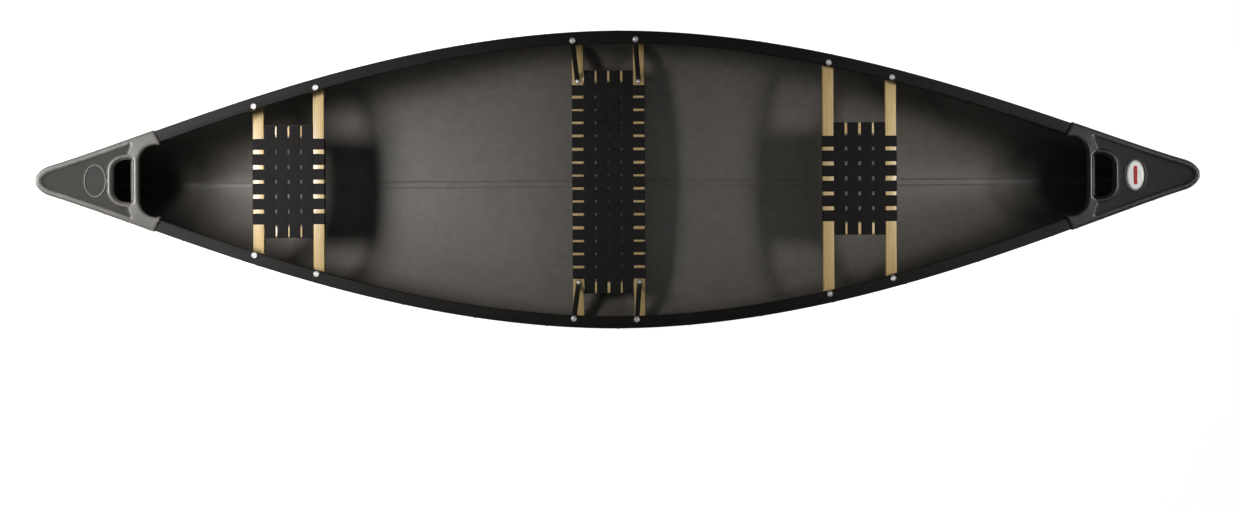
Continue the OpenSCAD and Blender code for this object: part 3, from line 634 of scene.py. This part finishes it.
def build_hull():
    inset = GUNWALE_WALL + RIM_GAP
    outer = hull_rings(HULL_TIP, inset, 0, KEEL_DEPTH, inside=False)
    inner = hull_rings(HULL_TIP - STEM_WALL, inset + HULL_WALL, KEEL_DEPTH + HULL_WALL,
                       GROOVE_DEPTH, inside=True)
    rows, columns = len(outer), len(outer[0])
    verts = [p for ring in outer + inner for p in ring]
    second = rows * columns
    outside = grid_faces(rows, columns)
    inside = grid_faces(rows, columns, second, flip=True)
    edge = []
    for i in range(rows - 1):
        a, b = i * columns, (i + 1) * columns
        edge.append((a, b, second + b, second + a))
        a, b = a + columns - 1, b + columns - 1
        edge.append((b, a, second + a, second + b))
    for j in range(columns - 1):
        last = (rows - 1) * columns
        edge.append((j, second + j, second + j + 1, j + 1))
        edge.append((last + j, last + j + 1, second + last + j + 1, second + last + j))
    face_materials = [0] * len(outside) + [1] * len(inside) + [0] * len(edge)
    hull = add_piece("hull_shell", verts, outside + inside + edge, [GREEN, GREY], 50,
                     face_materials)
    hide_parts("hull")


# ---- Gunwales and rivets ----

GUNWALE_STATIONS = 240


def gunwale_section():
    """Closed section as (inset, height over the sheer), with rounded edges."""
    w, wall = GUNWALE_W, GUNWALE_WALL
    corners = [(0, -OUTER_LEG), (0, 0), (w, 0), (w, -INNER_LEG), (w - wall, -INNER_LEG),
               (w - wall, -wall), (wall, -wall), (wall, -OUTER_LEG)]
    radii = [0.0012, 0.0042, 0.0042, 0.0012, 0.0012, 0.001, 0.001, 0.0012]
    return fillet(corners, radii, 5)


def build_gunwale(side, name):
    section = gunwale_section()
    run = HALF_L - GUNWALE_END
    verts = []
    for i in range(GUNWALE_STATIONS + 1):
        x = -run + 2 * run * i / GUNWALE_STATIONS
        verts += [(x, side * plan_half(x, p[0]), sheer(x) + p[1]) for p in section]
    count = len(section)
    faces = grid_faces(GUNWALE_STATIONS + 1, count, closed=True, flip=side == STARBOARD)
    last = GUNWALE_STATIONS * count
    half = count // 2
    for start, turn in ((0, side == PORT), (last, side == STARBOARD)):
        for j in range(half - 1):
            quad = (start + j, start + j + 1, start + count - 2 - j, start + count - 1 - j)
            faces.append(quad if turn else quad[::-1])
    piece = add_piece(f"gunwale_{name}_vinyl", verts, faces, [VINYL], 40)
    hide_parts(f"gunwale_{name}")


def side_matrix(x, side, inset, z):
    """Places +Z outwards along the hull side's normal."""
    slope = math.atan(plan_slope(x)) * side
    turn = Matrix.Rotation(slope, 4, "Z") @ Matrix.Rotation(-side * math.pi / 2, 4, "X")
    return Matrix.Translation((x, side * plan_half(x, inset), z)) @ turn


RIVET_HEAD = [(RIVET_R, 0.0), (RIVET_R, 0.0004), (RIVET_R * 0.94, 0.0009),
              (RIVET_R * 0.8, 0.0014), (RIVET_R * 0.6, 0.0018), (RIVET_R * 0.42, 0.00198),
              (RIVET_R * 0.34, 0.00196), (RIVET_R * 0.30, 0.0013), (RIVET_R * 0.1, 0.0012)]


def rivet(x, side, out=0.0):
    """A rivet head on the side, moved out along the side's normal."""
    place = side_matrix(x, side, 0, sheer(x) - RIVET_DROP)
    return lathe(RIVET_HEAD, place @ Matrix.Translation((0, 0, out)), 24)


def build_rivets():
    for side, name in SIDES:
        xs = [i * RIVET_PITCH for i in range(-RIVETS_EACH_WAY, RIVETS_EACH_WAY + 1)]
        add_joined(f"gunwale_rivet_heads_{name}", [rivet(x, side) for x in xs], RIVET_COAT,
                   35, f"gunwale_rivets_{name}")
    for end, name, length in ((BOW, "bow", BOW_DECK_L), (STERN, "stern", STERN_DECK_L)):
        reaches = [mix(DECK_RIVET_NOSE, length - DECK_RIVET_BACK, i / (DECK_RIVETS - 1))
                   for i in range(DECK_RIVETS)]
        heads = [rivet(end * (HALF_L - reach), side, DECK_OVER)
                 for side in (PORT, STARBOARD) for reach in reaches]
        add_joined(f"{name}_deck_rivet_heads", heads, RIVET_COAT, 35,
                   f"{name}_deck_rivets")


# ---- Deck plates: modelled with the nose at +X and turned round for the stern ----

class DeckShape:
    """Plan lines and surface height of one deck plate."""

    def __init__(self, length):
        self.length = length
        self.shoulder_x = HALF_L - length
        self.grip_x = self.shoulder_x + GRIP_INSET
        self.hole_x = self.grip_x + GRIP_W
        self.ring_x = HALF_L - RING_AT * length
        self.outer = self.outer_line()
        self.shoulder = self.shoulder_line()
        self.notch = self.notch_line()
        self.hole = densify(self.hole_line(), 0.003)
        self.lines = {
            "outer": mirror_line(self.outer),
            "shoulder": [self.shoulder, [Vector((p.x, -p.y)) for p in self.shoulder]],
            "notch": mirror_line(self.notch[::-1]),
            "hole": self.hole + self.hole[:1],
        }

    def edge_half(self, x):
        return plan_half(x, -DECK_OVER)

    def shoulder_at(self, y):
        """X of the slanted shoulder at a half breadth."""
        wide = plan_half(self.shoulder_x, -SHOULDER_REACH)
        share = 2 * (wide - y) / (GUNWALE_W + SHOULDER_REACH)
        return self.shoulder_x + SHOULDER_SLANT * (1 - share)

    def outer_line(self):
        """Half of the outline from the nose to the shoulder."""
        end_x = self.shoulder_x
        for _ in range(6):
            end_x = self.shoulder_at(self.edge_half(end_x))
        line = [(HALF_L - DECK_START, 0.0)]
        for i in range(16):
            x = HALF_L - DECK_START - NOSE_L * (1 - math.cos(math.pi / 2 * i / 16))
            line.append((x, self.edge_half(x)))
        for i in range(100):
            x = mix(HALF_L - DECK_START - NOSE_L, end_x, i / 99)
            line.append((x, self.edge_half(x)))
        return densify(line, 0.004, closed=False)

    def shoulder_line(self):
        start = self.outer[-1]
        x = self.shoulder_x
        for _ in range(6):
            x = self.shoulder_at(plan_half(x, GUNWALE_W + EDGE_GAP))
        return densify([start, (x, plan_half(x, GUNWALE_W + EDGE_GAP))], 0.003, closed=False)

    def notch_line(self):
        """Half of the edge from the shoulder round the notch to the middle of the grip."""
        start = self.shoulder[-1]
        centre_x = self.grip_x - NOTCH_R
        centre_y = plan_half(centre_x, GUNWALE_W) - NOTCH_R - 0.004
        line = [start]
        for i in range(17):
            a = math.radians(mix(104, 0, i / 16))
            line.append((centre_x + NOTCH_R * math.cos(a), centre_y + NOTCH_R * math.sin(a)))
        line.append((self.grip_x, 0.0))
        return densify(line, 0.003, closed=False)

    def hole_line(self):
        back, nose = self.hole_x, self.hole_x + HOLE_L - 0.003
        corners = [(back, -HOLE_HALF_W), (nose, -HOLE_NOSE_HALF_W - 0.004),
                   (nose, HOLE_NOSE_HALF_W + 0.004), (back, HOLE_HALF_W)]
        return fillet(corners, [0.013, HOLE_NOSE_R, HOLE_NOSE_R, 0.013], 10)

    def crown(self, x, y):
        """Height of the plain crowned plate."""
        reach = clamp((HALF_L - x) / (self.length - GRIP_INSET)) ** 1.5
        share = clamp(abs(y) / max(self.edge_half(x), 0.001))
        return sheer(x) + DECK_GAP + DECK_T + DECK_CROWN * reach * (1 - share ** 2)

    def grip_share(self, x, y):
        """1 on the carrying grip, 0 away from it."""
        along = 1 - smooth((abs(x - self.grip_x - GRIP_W / 2) - 0.012) / 0.010)
        return along * (1 - smooth((abs(y) - 0.070) / 0.020))

    def panel_depth(self, x, y, from_edge, from_hole):
        """How far inside the recessed panel a point is."""
        diagonal = self.hole_x + 0.015 * clamp((0.135 - abs(y)) / 0.043, -1, 1)
        return min(from_edge - 0.0185, from_hole - 0.013, (x - diagonal) * 0.94)

    def height(self, x, y, from_edge, from_shoulder, from_notch, from_hole):
        z = self.crown(x, y)
        z -= rounding(from_edge, 0.0055)
        z -= rounding(from_shoulder, 0.0015)
        lip = mix(0.0065, 0.012, self.grip_share(x, y))
        z -= rounding(min(from_notch, from_hole), lip)
        z -= 0.0030 * smooth(self.panel_depth(x, y, from_edge, from_hole) / 0.0035)
        ridge = abs(from_hole - 0.0085) / 0.0045
        if x > self.hole_x + 0.01:
            z += 0.0012 * (1 - smooth(ridge))
        return z + 0.0011 * self.ring(x, y)

    def ring_share(self, x, y):
        """Distance from the badge's middle, 1 on the raised oval line round it."""
        return math.hypot((x - self.ring_x) / RING_HALF[0], y / RING_HALF[1])

    def ring(self, x, y):
        """The raised oval line round the badge's place: 1 on it, 0 away from it."""
        return 1 - smooth(abs(self.ring_share(x, y) - 1) / RING_WIDTH)

    def ring_points(self):
        """Points along the oval line, over its width."""
        points = []
        for step in (-1, -0.5, 0, 0.5, 1):
            r = 1 + step * RING_WIDTH
            for k in range(RING_STEPS):
                a = 2 * math.pi * k / RING_STEPS
                points.append(Vector((self.ring_x + r * RING_HALF[0] * math.cos(a),
                                      r * RING_HALF[1] * math.sin(a))))
        return points

    def spans(self, p, own=None):
        """Distances to the outer edge, shoulder, notch and hole, with 0 to a point's own."""
        return [0.0 if kind == own else distance(p, line) for kind, line in self.lines.items()]

    def surface(self, x, y):
        """Height anywhere on the plate, for what lies on it."""
        return self.height(x, y, *self.spans(Vector((x, y))))


def mirror_line(half):
    """The half line from the centreline outwards and its mirror, as one line."""
    return [Vector((p.x, -p.y)) for p in half[:0:-1]] + list(half)


def rounding(d, radius):
    """How far a rounded edge drops below the surface at distance d from it."""
    if d >= radius:
        return 0.0
    return radius - math.sqrt(max(radius ** 2 - (radius - d) ** 2, 0))


def distance(point, line):
    """Distance from a point to a line of points, or to the nearest of several lines."""
    if isinstance(line[0], list):
        return min(distance(point, part) for part in line)
    best = 1e9
    for a, b in zip(line, line[1:]):
        along = b - a
        share = clamp((point - a).dot(along) / along.length_squared)
        best = min(best, (a + along * share - point).length_squared)
    return math.sqrt(best)


def inside_outline(x, y, outline):
    """True where a point is inside a closed outline."""
    inside = False
    ax, ay = outline[-1]
    for bx, by in outline:
        if (ay > y) != (by > y) and x < (bx - ax) * (y - ay) / (by - ay) + ax:
            inside = not inside
        ax, ay = bx, by
    return inside


GRID = 0.0042
LIP_RINGS = 6


def deck_edges(shape):
    """The outline and the hole, as points with the kind of edge that each is on."""
    half = ([(p, "outer") for p in shape.outer[:-1]]
            + [(p, "shoulder") for p in shape.shoulder[:-1]]
            + [(p, "notch") for p in shape.notch])
    mirrored = [(Vector((p.x, -p.y)), kind) for p, kind in half[1:-1]][::-1]
    return half + mirrored, [(p, "hole") for p in shape.hole]


def on_plate(x, y, ring, hole):
    return inside_outline(x, y, ring) and not inside_outline(x, y, hole)


def inner_points(shape, ring):
    """A staggered grid clear of the edges and of the oval line, then the line's own points."""
    low_x = min(p.x for p in ring)
    rows = int((max(p.x for p in ring) - low_x) / GRID)
    columns = int(max(p.y for p in ring) / GRID)
    found = []
    for i in range(rows + 1):
        for j in range(-columns, columns + 1):
            x, y = low_x + (i + 0.5) * GRID, (j + 0.5 * (i % 2)) * GRID
            if not on_plate(x, y, ring, shape.hole):
                continue
            p = Vector((x, y))
            span = shape.spans(p)
            if min(span) > GRID * 0.45 and abs(shape.ring_share(x, y) - 1) > RING_CLEAR:
                found.append((p, span))
    return found + [(p, shape.spans(p)) for p in shape.ring_points()]


def build_deck(end, length, material, name):
    shape = DeckShape(length)
    outline, hole = deck_edges(shape)
    edge = outline + hole
    ring = [p for p, _ in outline]
    inner = inner_points(shape, ring)
    points = [p for p, _ in edge + inner]
    spans = [None] * len(edge) + [span for _, span in inner]
    loops = [list(range(len(outline))), list(range(len(outline), len(edge)))]
    borders = [(loop[k], loop[(k + 1) % len(loop)]) for loop in loops for k in range(len(loop))]
    flat, _, triangles, *_ = delaunay_2d_cdt(points, borders, [], 0, 1e-7)
    faces = [(a, b, c) for a, b, c in triangles
             if on_plate(*((flat[a] + flat[b] + flat[c]) / 3), ring, shape.hole)]
    verts = []
    for k, p in enumerate(flat):
        span = spans[k] or shape.spans(p, edge[k][1])
        verts.append(Vector((p.x, p.y, shape.height(p.x, p.y, *span))))
    for loop in loops:
        add_lip(shape, verts, faces, loop, [edge[k][1] for k in loop])
    if end == STERN:
        verts = [Vector((-v.x, -v.y, v.z)) for v in verts]
    piece = add_piece(f"{name}_deck_moulding", verts, faces, [material], 55)
    panel = piece.data.attributes.new("panel", "FLOAT", "POINT")
    shares = [smooth(shape.panel_depth(p.x, p.y, span[0], span[3]) / 0.004)
              * (1 - shape.ring(p.x, p.y)) if span else 0.0 for p, span in zip(flat, spans)]
    # The skirts take the panel's dark tone and grain, so the stern rim's painted sheen stays
    # off them.
    shares += [1.0 if edge[k][1] == "outer" else 0.0
               for loop in loops for _ in range(LIP_RINGS) for k in loop]
    panel.data.foreach_set("value", shares)
    wall = piece.modifiers.new("wall", "SOLIDIFY")
    wall.thickness = DECK_WALL
    wall.offset = -1
    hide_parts(f"{name}_deck_plate")
    return shape


def add_lip(shape, verts, faces, loop, kinds):
    """Turns the plate's edge down: a skirt outside, a flush end, and rolled inner lips."""
    count = len(loop)
    points = [verts[k].copy() for k in loop]
    previous = list(loop)
    for step in range(1, LIP_RINGS + 1):
        u = step / LIP_RINGS
        current = []
        for k in range(count):
            p = points[k]
            along = points[(k + 1) % count] - points[k - 1]
            inward = Vector((-along.y, along.x, 0)).normalized()
            if kinds[k] == "outer":
                low = sheer(p.x) - DECK_SKIRT
                new = Vector((p.x, p.y, mix(p.z, low, u)))
            elif kinds[k] == "shoulder":
                new = Vector((p.x, p.y, mix(p.z, sheer(p.x) + SHOULDER_DROP_TO, u)))
            else:
                bar = shape.grip_share(p.x, p.y)
                curl = mix(0.0004, 0.0085, bar)
                drop = mix(0.015, 0.0115, bar)
                a = math.pi / 2 * u
                shift = inward * curl * (1 - math.cos(a))
                new = p + shift
                new.z = p.z - drop * math.sin(a)
            current.append(len(verts))
            verts.append(new)
        for k in range(count):
            n = (k + 1) % count
            faces.append((previous[n], previous[k], current[k], current[n]))
        previous = current


def build_badge(shape):
    """A thin oval plate on the bow deck: a grey rim, a white field and a plain red bar."""
    layers = (("badge_plate", HALF_BADGE, 2.0, 0.0008, BADGE_RIM),
              ("badge_enamel", (HALF_BADGE[0] * 0.86, HALF_BADGE[1] * 0.90), 2.0, 0.0012,
               BADGE_FIELD),
              ("badge_bar", (0.0078, 0.034), 4.0, 0.0016, BADGE_BAR))
    for name, (rx, ry), power, lift, material in layers:
        verts, faces = oval_plate(shape, rx, ry, power, lift)
        add_piece(name, verts, faces, [material], 40)
    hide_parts("bow_deck_badge")


def oval_plate(shape, rx, ry, power, lift):
    """A thin plate on the deck with a superellipse outline and a rounded edge."""
    around, rings = 72, 10
    cx = shape.ring_x
    verts = [Vector((cx, 0, shape.surface(cx, 0) + lift))]
    for i in range(1, rings + 1):
        share = i / rings
        for k in range(around):
            a = 2 * math.pi * k / around
            c, s = math.cos(a), math.sin(a)
            r = (abs(c) ** power + abs(s) ** power) ** (-1 / power) * share
            x, y = cx + rx * r * c, ry * r * s
            edge = lift * (1 - 0.35 * smooth((share - 0.85) / 0.15))
            verts.append(Vector((x, y, shape.surface(x, y) + edge)))
    for k in range(around):
        p = verts[1 + (rings - 1) * around + k]
        verts.append(Vector((p.x, p.y, p.z - lift * 0.75)))
    faces = [(0, 1 + k, 1 + (k + 1) % around) for k in range(around)]
    faces += grid_faces(rings + 1, around, 1, closed=True, flip=True)
    faces.append(tuple(1 + rings * around + k for k in range(around))[::-1])
    return verts, faces


# ---- Seats ----

class Seat:
    """Places of one seat, read from its CAD nodes."""

    def __init__(self, name, cross_count, cross_pitch, long_pitch):
        self.name = name
        self.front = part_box(f"{name}_front_rail")
        self.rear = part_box(f"{name}_rear_rail")
        self.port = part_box(f"{name}_port_stretcher")
        self.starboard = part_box(f"{name}_starboard_stretcher")
        self.top = self.front[1][2]
        self.middle_x = (self.front[1][0] + self.rear[0][0]) / 2
        self.cross = [(i - (cross_count - 1) / 2) * cross_pitch for i in range(cross_count)]
        self.long = [self.middle_x + (i - 1.5) * long_pitch for i in range(4)]


SEATS = [Seat("stern_seat", 6, 0.053, 0.045), Seat("bow_seat", 6, 0.053, 0.0475),
         Seat("centre_seat", 15, 0.048, 0.0475)]
# Tone of the same ash for each seat (stern, bow, centre); the bow seat's lighter tone is
# painted light.
SEAT_ASH_TONE_AND_LIGHT = (0.90, 1.28, 1.0)
ARRIS_R = 0.0032


def build_member(name, low, high, axis, material, ends=None):
    """A wooden bar with rounded arrises. Its length runs along its own X, for the grain."""
    size = [high[i] - low[i] for i in range(3)]
    length, width, height = size[axis], size[1 - axis], size[2]
    r = ARRIS_R
    section = bar_section(width, height, r, 4)
    lead, trail = ends or (length / 2, length / 2)
    bevel = [(0.0, r * 0.75), (r * 0.3, r * 0.25), (r, 0.0)]
    stations = [(-1, *cut) for cut in bevel] + [(1, *cut) for cut in bevel[::-1]]
    verts = []
    for side, step, shrink in stations:
        for p in section:
            share = p[0] / width + 0.5
            reach = mix(trail, lead, share) - step
            scale = 1 - 2 * shrink / width, 1 - 2 * shrink / height
            verts.append(Vector((side * reach, p[0] * scale[0], p[1] * scale[1])))
    faces = tube_faces(len(stations), len(section), flip=True)
    piece = add_piece(name + "_ash", verts, faces, [material], 35)
    piece.location = [(low[i] + high[i]) / 2 for i in range(3)]
    if axis == 1:
        piece.rotation_euler.z = math.pi / 2
    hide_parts(name)


def rail_reach(x, top, height):
    """Half length of a rail at one of its edges, clear of the hull's side."""
    z = top - height
    inset, tip = GUNWALE_WALL + RIM_GAP + HULL_WALL, HULL_TIP - STEM_WALL
    floor_z = keel_z(x) + KEEL_DEPTH + HULL_WALL
    w = clamp((rim(x) - z) / (rim(x) - floor_z))
    k = (1 - w ** section_m(x)) ** (1 / section_n(x))
    return plan_half(x, inset, tip) * k - 0.003


def build_frame(seat, woods):
    for end, (low, high) in (("front_rail", seat.front), ("rear_rail", seat.rear)):
        height = high[2] - low[2]
        aft, fore = (rail_reach(x, high[2], height) for x in (low[0], high[0]))
        build_member(f"{seat.name}_{end}", low, high, 1, woods[end], (aft, fore))
    for side, (low, high) in (("port", seat.port), ("starboard", seat.starboard)):
        build_member(f"{seat.name}_{side}_stretcher", low, high, 0, woods[side])


def strap_section():
    """Closed section of a strap: (across, through), with thin rounded selvedges."""
    w, t = STRAP_W / 2, STRAP_T / 2
    top = [(w * math.sin(a), t * (0.82 + 0.18 * math.cos(a) ** 2) * math.cos(a) ** 0.35)
           for a in (math.radians(d) for d in (-88, -72, -55, -30, 0, 30, 55, 72, 88))]
    return top + [(x, -y) for x, y in top[::-1]]


def sweep(path, across, section):
    """Points and faces of a section swept along a path in the plane square to across."""
    verts = []
    for i, p in enumerate(path):
        ahead = path[min(i + 1, len(path) - 1)] - path[max(i - 1, 0)]
        normal = across.cross(ahead.normalized())
        verts += [p + across * s + normal * t for s, t in section]
    return verts, tube_faces(len(path), len(section))


def round_path(points, radius, step):
    """An open path with rounded corners and evenly short stretches."""
    path = [points[0]]
    for before, corner, after in zip(points, points[1:], points[2:]):
        a = (before - corner).normalized()
        b = (after - corner).normalized()
        reach = radius / math.tan(a.angle(b) / 2)
        reach = min(reach, (before - corner).length / 2, (after - corner).length / 2)
        for k in range(6):
            u = k / 5
            start, end = corner + a * reach, corner + b * reach
            path.append(start.lerp(corner, u).lerp(corner.lerp(end, u), u))
    path.append(points[-1])
    return densify(path, step, closed=False)


def strap_path(half_span, rail_h, crossings, sign):
    """One strap in its own plane: (along, height over the wood), with its tucked ends."""
    out = half_span + STRAP_OFF
    under = -rail_h - STRAP_OFF

    def weave(u):
        """Height of the strap at u, from -1 under to 1 over at each crossing."""
        knots = [(-half_span - 0.01, 0.0), (crossings[0] - CROSSING_EASE, 0.0)]
        knots += [(c, sign * (-1) ** k) for k, c in enumerate(crossings)]
        knots += [(crossings[-1] + CROSSING_EASE, 0.0), (half_span + 0.01, 0.0)]
        for (a, ha), (b, hb) in zip(knots, knots[1:]):
            if a <= u <= b:
                flat = 0.30 if ha and hb else 0.0
                share = clamp(((u - a) / (b - a) - flat) / (1 - 2 * flat))
                return mix(ha, hb, smooth(share))
        return 0.0

    count = max(60, int(2 * half_span / STRAP_STEP))
    ends = [Vector((-half_span + STRAP_TUCK, under)), Vector((-out, under)),
            Vector((-out, STRAP_OFF))]
    middle = [Vector((mix(-half_span + 0.006, half_span - 0.006, i / count), 0))
              for i in range(count + 1)]
    for p in middle:
        p.y = STRAP_OFF + WEAVE_LIFT * weave(p.x)
    corner_in = round_path(ends + [middle[0]], 0.0024, STRAP_STEP)
    corner_out = [Vector((-p.x, p.y)) for p in corner_in[::-1]]
    return corner_in[:-1] + middle + corner_out[1:]


def add_strap_uv(piece, lengths, section_count):
    """UV in metres: along each strap and across it, so that the weave has its real scale."""
    mesh = piece.data
    uv = mesh.uv_layers.new(name="strap")
    places = []
    for path in lengths:
        for along in path:
            for k in range(section_count):
                angle = k / section_count
                across = STRAP_W * (2 * angle if angle < 0.5 else 2 - 2 * angle)
                places.append((along, across))
    for loop in mesh.loops:
        uv.data[loop.index].uv = places[loop.vertex_index]


def build_straps(seat, seed):
    """Both layers of webbing, woven over and under each other."""
    chance = random.Random(seed)
    section = strap_section()
    rail_h = seat.front[1][2] - seat.front[0][2]
    for kind in ("cross", "long"):
        cross = kind == "cross"
        if cross:
            half_span = (seat.front[1][0] - seat.rear[0][0]) / 2
            places, crossings = seat.cross, [x - seat.middle_x for x in seat.long]
            across = Vector((0, 1, 0))
        else:
            half_span = seat.port[1][1]
            places, crossings = seat.long, seat.cross
            across = Vector((-1, 0, 0))
        parts, lengths = [], []
        for i, place in enumerate(places):
            sign = (-1) ** i * (1 if cross else -1)
            flat = strap_path(half_span, rail_h, crossings, sign)
            drift = chance.uniform(-0.0012, 0.0012)
            lean = chance.uniform(-0.004, 0.004)
            path = []
            for p in flat:
                offset = place + drift + lean * p.x
                if cross:
                    path.append(Vector((seat.middle_x + p.x, offset, seat.top + p.y)))
                else:
                    path.append(Vector((offset, p.x, seat.top + p.y)))
            parts.append(sweep(path, across, section))
            run, along = 0.0, []
            for a, b in zip([path[0]] + path, path):
                run += (b - a).length
                along.append(run)
            lengths.append(along)
        verts, faces = join_parts(parts)
        piece = add_piece(f"{seat.name}_{kind}_webbing", verts, faces, [WEBBING], 60)
        add_strap_uv(piece, lengths, len(section))
        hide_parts(f"{seat.name}_{kind}_straps")


# ---- Seat hardware ----

BOLT_INSET = 0.032
CUP_R = 0.0105
CUP_LIFT = 0.0014
CUP = [(0.0036, 0.0002), (0.0100, 0.0), (0.0105, 0.0004), (0.0104, 0.0010), (0.0098, 0.0019),
       (0.0090, 0.0027), (0.0084, 0.0030), (0.0079, 0.0029), (0.0077, 0.0024),
       (0.0075, 0.0012), (0.0036, 0.0010)]


def build_cup_washers(node):
    """Dished washers at the places of the CAD node's four."""
    low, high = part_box(node)
    places = []
    for x in (low[0] + CUP_R, high[0] - CUP_R):
        y = plan_half(x, BOLT_INSET)
        for side in (PORT, STARBOARD):
            places.append(Vector((x, side * y, sheer(x) + CUP_LIFT)))
    cups = [lathe(CUP, Matrix.Translation(p), 48) for p in places]
    add_joined(node + "_dished", cups, STAINLESS, 35, node)


BRACE_W = 0.018
BRACE_T = 0.005
BRACE_SPLAY = 0.013
BRACE_TAB = 0.0115
BRACE_BEND_R = 0.006
RAIL_BOLT_Y = 0.368


def build_braces():
    """Flat bars with a soft bend at each end and rounded tabs."""
    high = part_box("centre_seat_braces")[1]
    seat = SEATS[2]
    section = bar_section(BRACE_W, BRACE_T, BRACE_T * 0.3, 3)
    parts = []
    for rail in (seat.front, seat.rear):
        foot_x = (rail[0][0] + rail[1][0]) / 2
        head_x = foot_x - BRACE_SPLAY
        for side in (PORT, STARBOARD):
            foot = Vector((foot_x, side * RAIL_BOLT_Y, seat.top + BRACE_T / 2 + 0.0002))
            head = Vector((head_x, side * plan_half(head_x, BOLT_INSET), high[2] - BRACE_T / 2))
            flat = Vector((head.x - foot.x, head.y - foot.y, 0)).normalized()
            tab, bend = flat * BRACE_W / 2, flat * BRACE_TAB
            corners = [foot - tab, foot + bend, head - bend, head + tab]
            path = round_path(corners, BRACE_BEND_R, 0.0025)
            verts, faces = sweep(path, Vector((0, 0, 1)).cross(flat), section)
            parts.append((round_tabs(verts, path), faces))
    add_joined("centre_seat_hanger_bars", parts, BLACK_COAT, 45,
               "centre_seat_braces")


def round_tabs(verts, path):
    """Narrows the first and last rows of a swept bar to round ends."""
    count = len(verts) // len(path)
    run = [0.0]
    for a, b in zip(path, path[1:]):
        run.append(run[-1] + (b - a).length)
    rounded = []
    for i, centre in enumerate(path):
        end = min(run[i], run[-1] - run[i])
        share = math.sqrt(max(1 - (1 - clamp(end / (BRACE_W / 2))) ** 2, 0.02))
        rounded += [scaled_across(v, centre, share) for v in verts[i * count:(i + 1) * count]]
    return rounded


def scaled_across(v, centre, share):
    """Moves a point towards a centre in plan only."""
    return Vector((mix(centre.x, v.x, share), mix(centre.y, v.y, share), v.z))


# ---- Materials of the CAD nodes that stay ----

def finish_node(node, material):
    """Gives a carried-over CAD node its material."""
    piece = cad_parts[node]
    if not piece.material_slots:
        piece.data.materials.append(material)
    for slot in piece.material_slots:
        slot.link = "OBJECT"
        slot.material = material


STAYING = {"gunwale_stiffener_port": ALUMINIUM, "gunwale_stiffener_starboard": ALUMINIUM}
for part in ("gunwale_bolts", "gunwale_nuts", "rail_bolts", "rail_washers", "rail_nuts"):
    STAYING[f"centre_seat_{part}"] = STAINLESS
for seat_name in ("stern_seat", "bow_seat"):
    for part, material in (("bolts", STAINLESS), ("flat_washers", STAINLESS),
                           ("lock_nuts", STAINLESS), ("spacers", TUBE)):
        STAYING[f"{seat_name}_{part}"] = material
for seat_name in ("stern_seat", "bow_seat", "centre_seat"):
    STAYING[f"{seat_name}_dowels"] = DOWEL_WOOD
    STAYING[f"{seat_name}_staples"] = GALVANISED


# ---- Camera, floor and light ----

def add_camera():
    """Straight down from above, with the canoe in the upper part of the frame."""
    data = bpy.data.cameras.new("camera")
    data.lens = 49.1
    data.sensor_width = 36
    data.clip_end = 100
    camera = add_object("camera", data)
    camera.location = (0, -0.272, 6.36)
    camera.rotation_euler = (0, 0, math.radians(-0.32))
    bpy.context.scene.camera = camera


def add_floor():
    mesh = bpy.data.meshes.new("floor")
    reach = 30
    mesh.from_pydata([(-reach, -reach, 0), (reach, -reach, 0), (reach, reach, 0),
                      (-reach, reach, 0)], [], [(0, 1, 2, 3)])
    paper = Surface("floor_paper", 0.9, Specular_IOR_Level=0.1, Emission_Strength=0.96,
                    Base_Color=(0.35, 0.35, 0.35, 1), Emission_Color=(1, 1, 1, 1))
    mesh.materials.append(paper.material)
    add_object("floor", mesh)


def add_light(name, place, target, size, power, height=None, spread=180):
    data = bpy.data.lights.new(name, "AREA")
    data.energy = power
    data.size = size
    data.spread = math.radians(spread)
    if height:
        data.shape = "RECTANGLE"
        data.size_y = height
    lamp = add_object(name, data)
    lamp.location = place
    aim = Vector(target) - Vector(place)
    lamp.rotation_euler = aim.to_track_quat("-Z", "Y").to_euler()
    lamp.visible_camera = False


def add_world():
    world = bpy.data.worlds.new("studio")
    world.use_nodes = True
    background = world.node_tree.nodes["Background"]
    background.inputs["Color"].default_value = (0.93, 0.96, 1.0, 1)
    background.inputs["Strength"].default_value = 0.09
    bpy.context.scene.world = world
    bpy.context.scene.view_settings.view_transform = "Standard"


add_camera()
add_floor()
add_light("stern_softbox", (-3.15, 0.3, 3.6), (-1.45, 0, 0.1), 1.3, 25, spread=50)
add_light("bow_softbox", (3.1, 0.2, 3.6), (1.15, 0, 0.0), 0.9, 4.6, spread=32)
add_light("port_strip", (-1.2, 3.6, 2.4), (-0.9, 0, 0.3), 2.8, 9, height=0.6)
add_light("starboard_strip", (-1.2, -3.6, 2.4), (-0.9, 0, 0.3), 2.8, 7, height=0.6)
add_world()

# ---- Build ----

build_hull()
for side, name in SIDES:
    build_gunwale(side, name)
build_rivets()
bow_shape = build_deck(BOW, BOW_DECK_L, BOW_PLASTIC, "bow")
build_deck(STERN, STERN_DECK_L, STERN_PLASTIC_SHEEN, "stern")
build_badge(bow_shape)
for index, seat in enumerate(SEATS):
    woods = {part: ash_wood(f"{seat.name}_{part}_ash", index * 4 + k,
                            SEAT_ASH_TONE_AND_LIGHT[index] * mix(0.96, 1.07, k / 3))
             for k, part in enumerate(("front_rail", "rear_rail", "port", "starboard"))}
    build_frame(seat, woods)
    build_straps(seat, index + 3)
for seat in SEATS:
    build_cup_washers(f"{seat.name}_cup_washers")
build_braces()
for node, material in STAYING.items():
    finish_node(node, material)
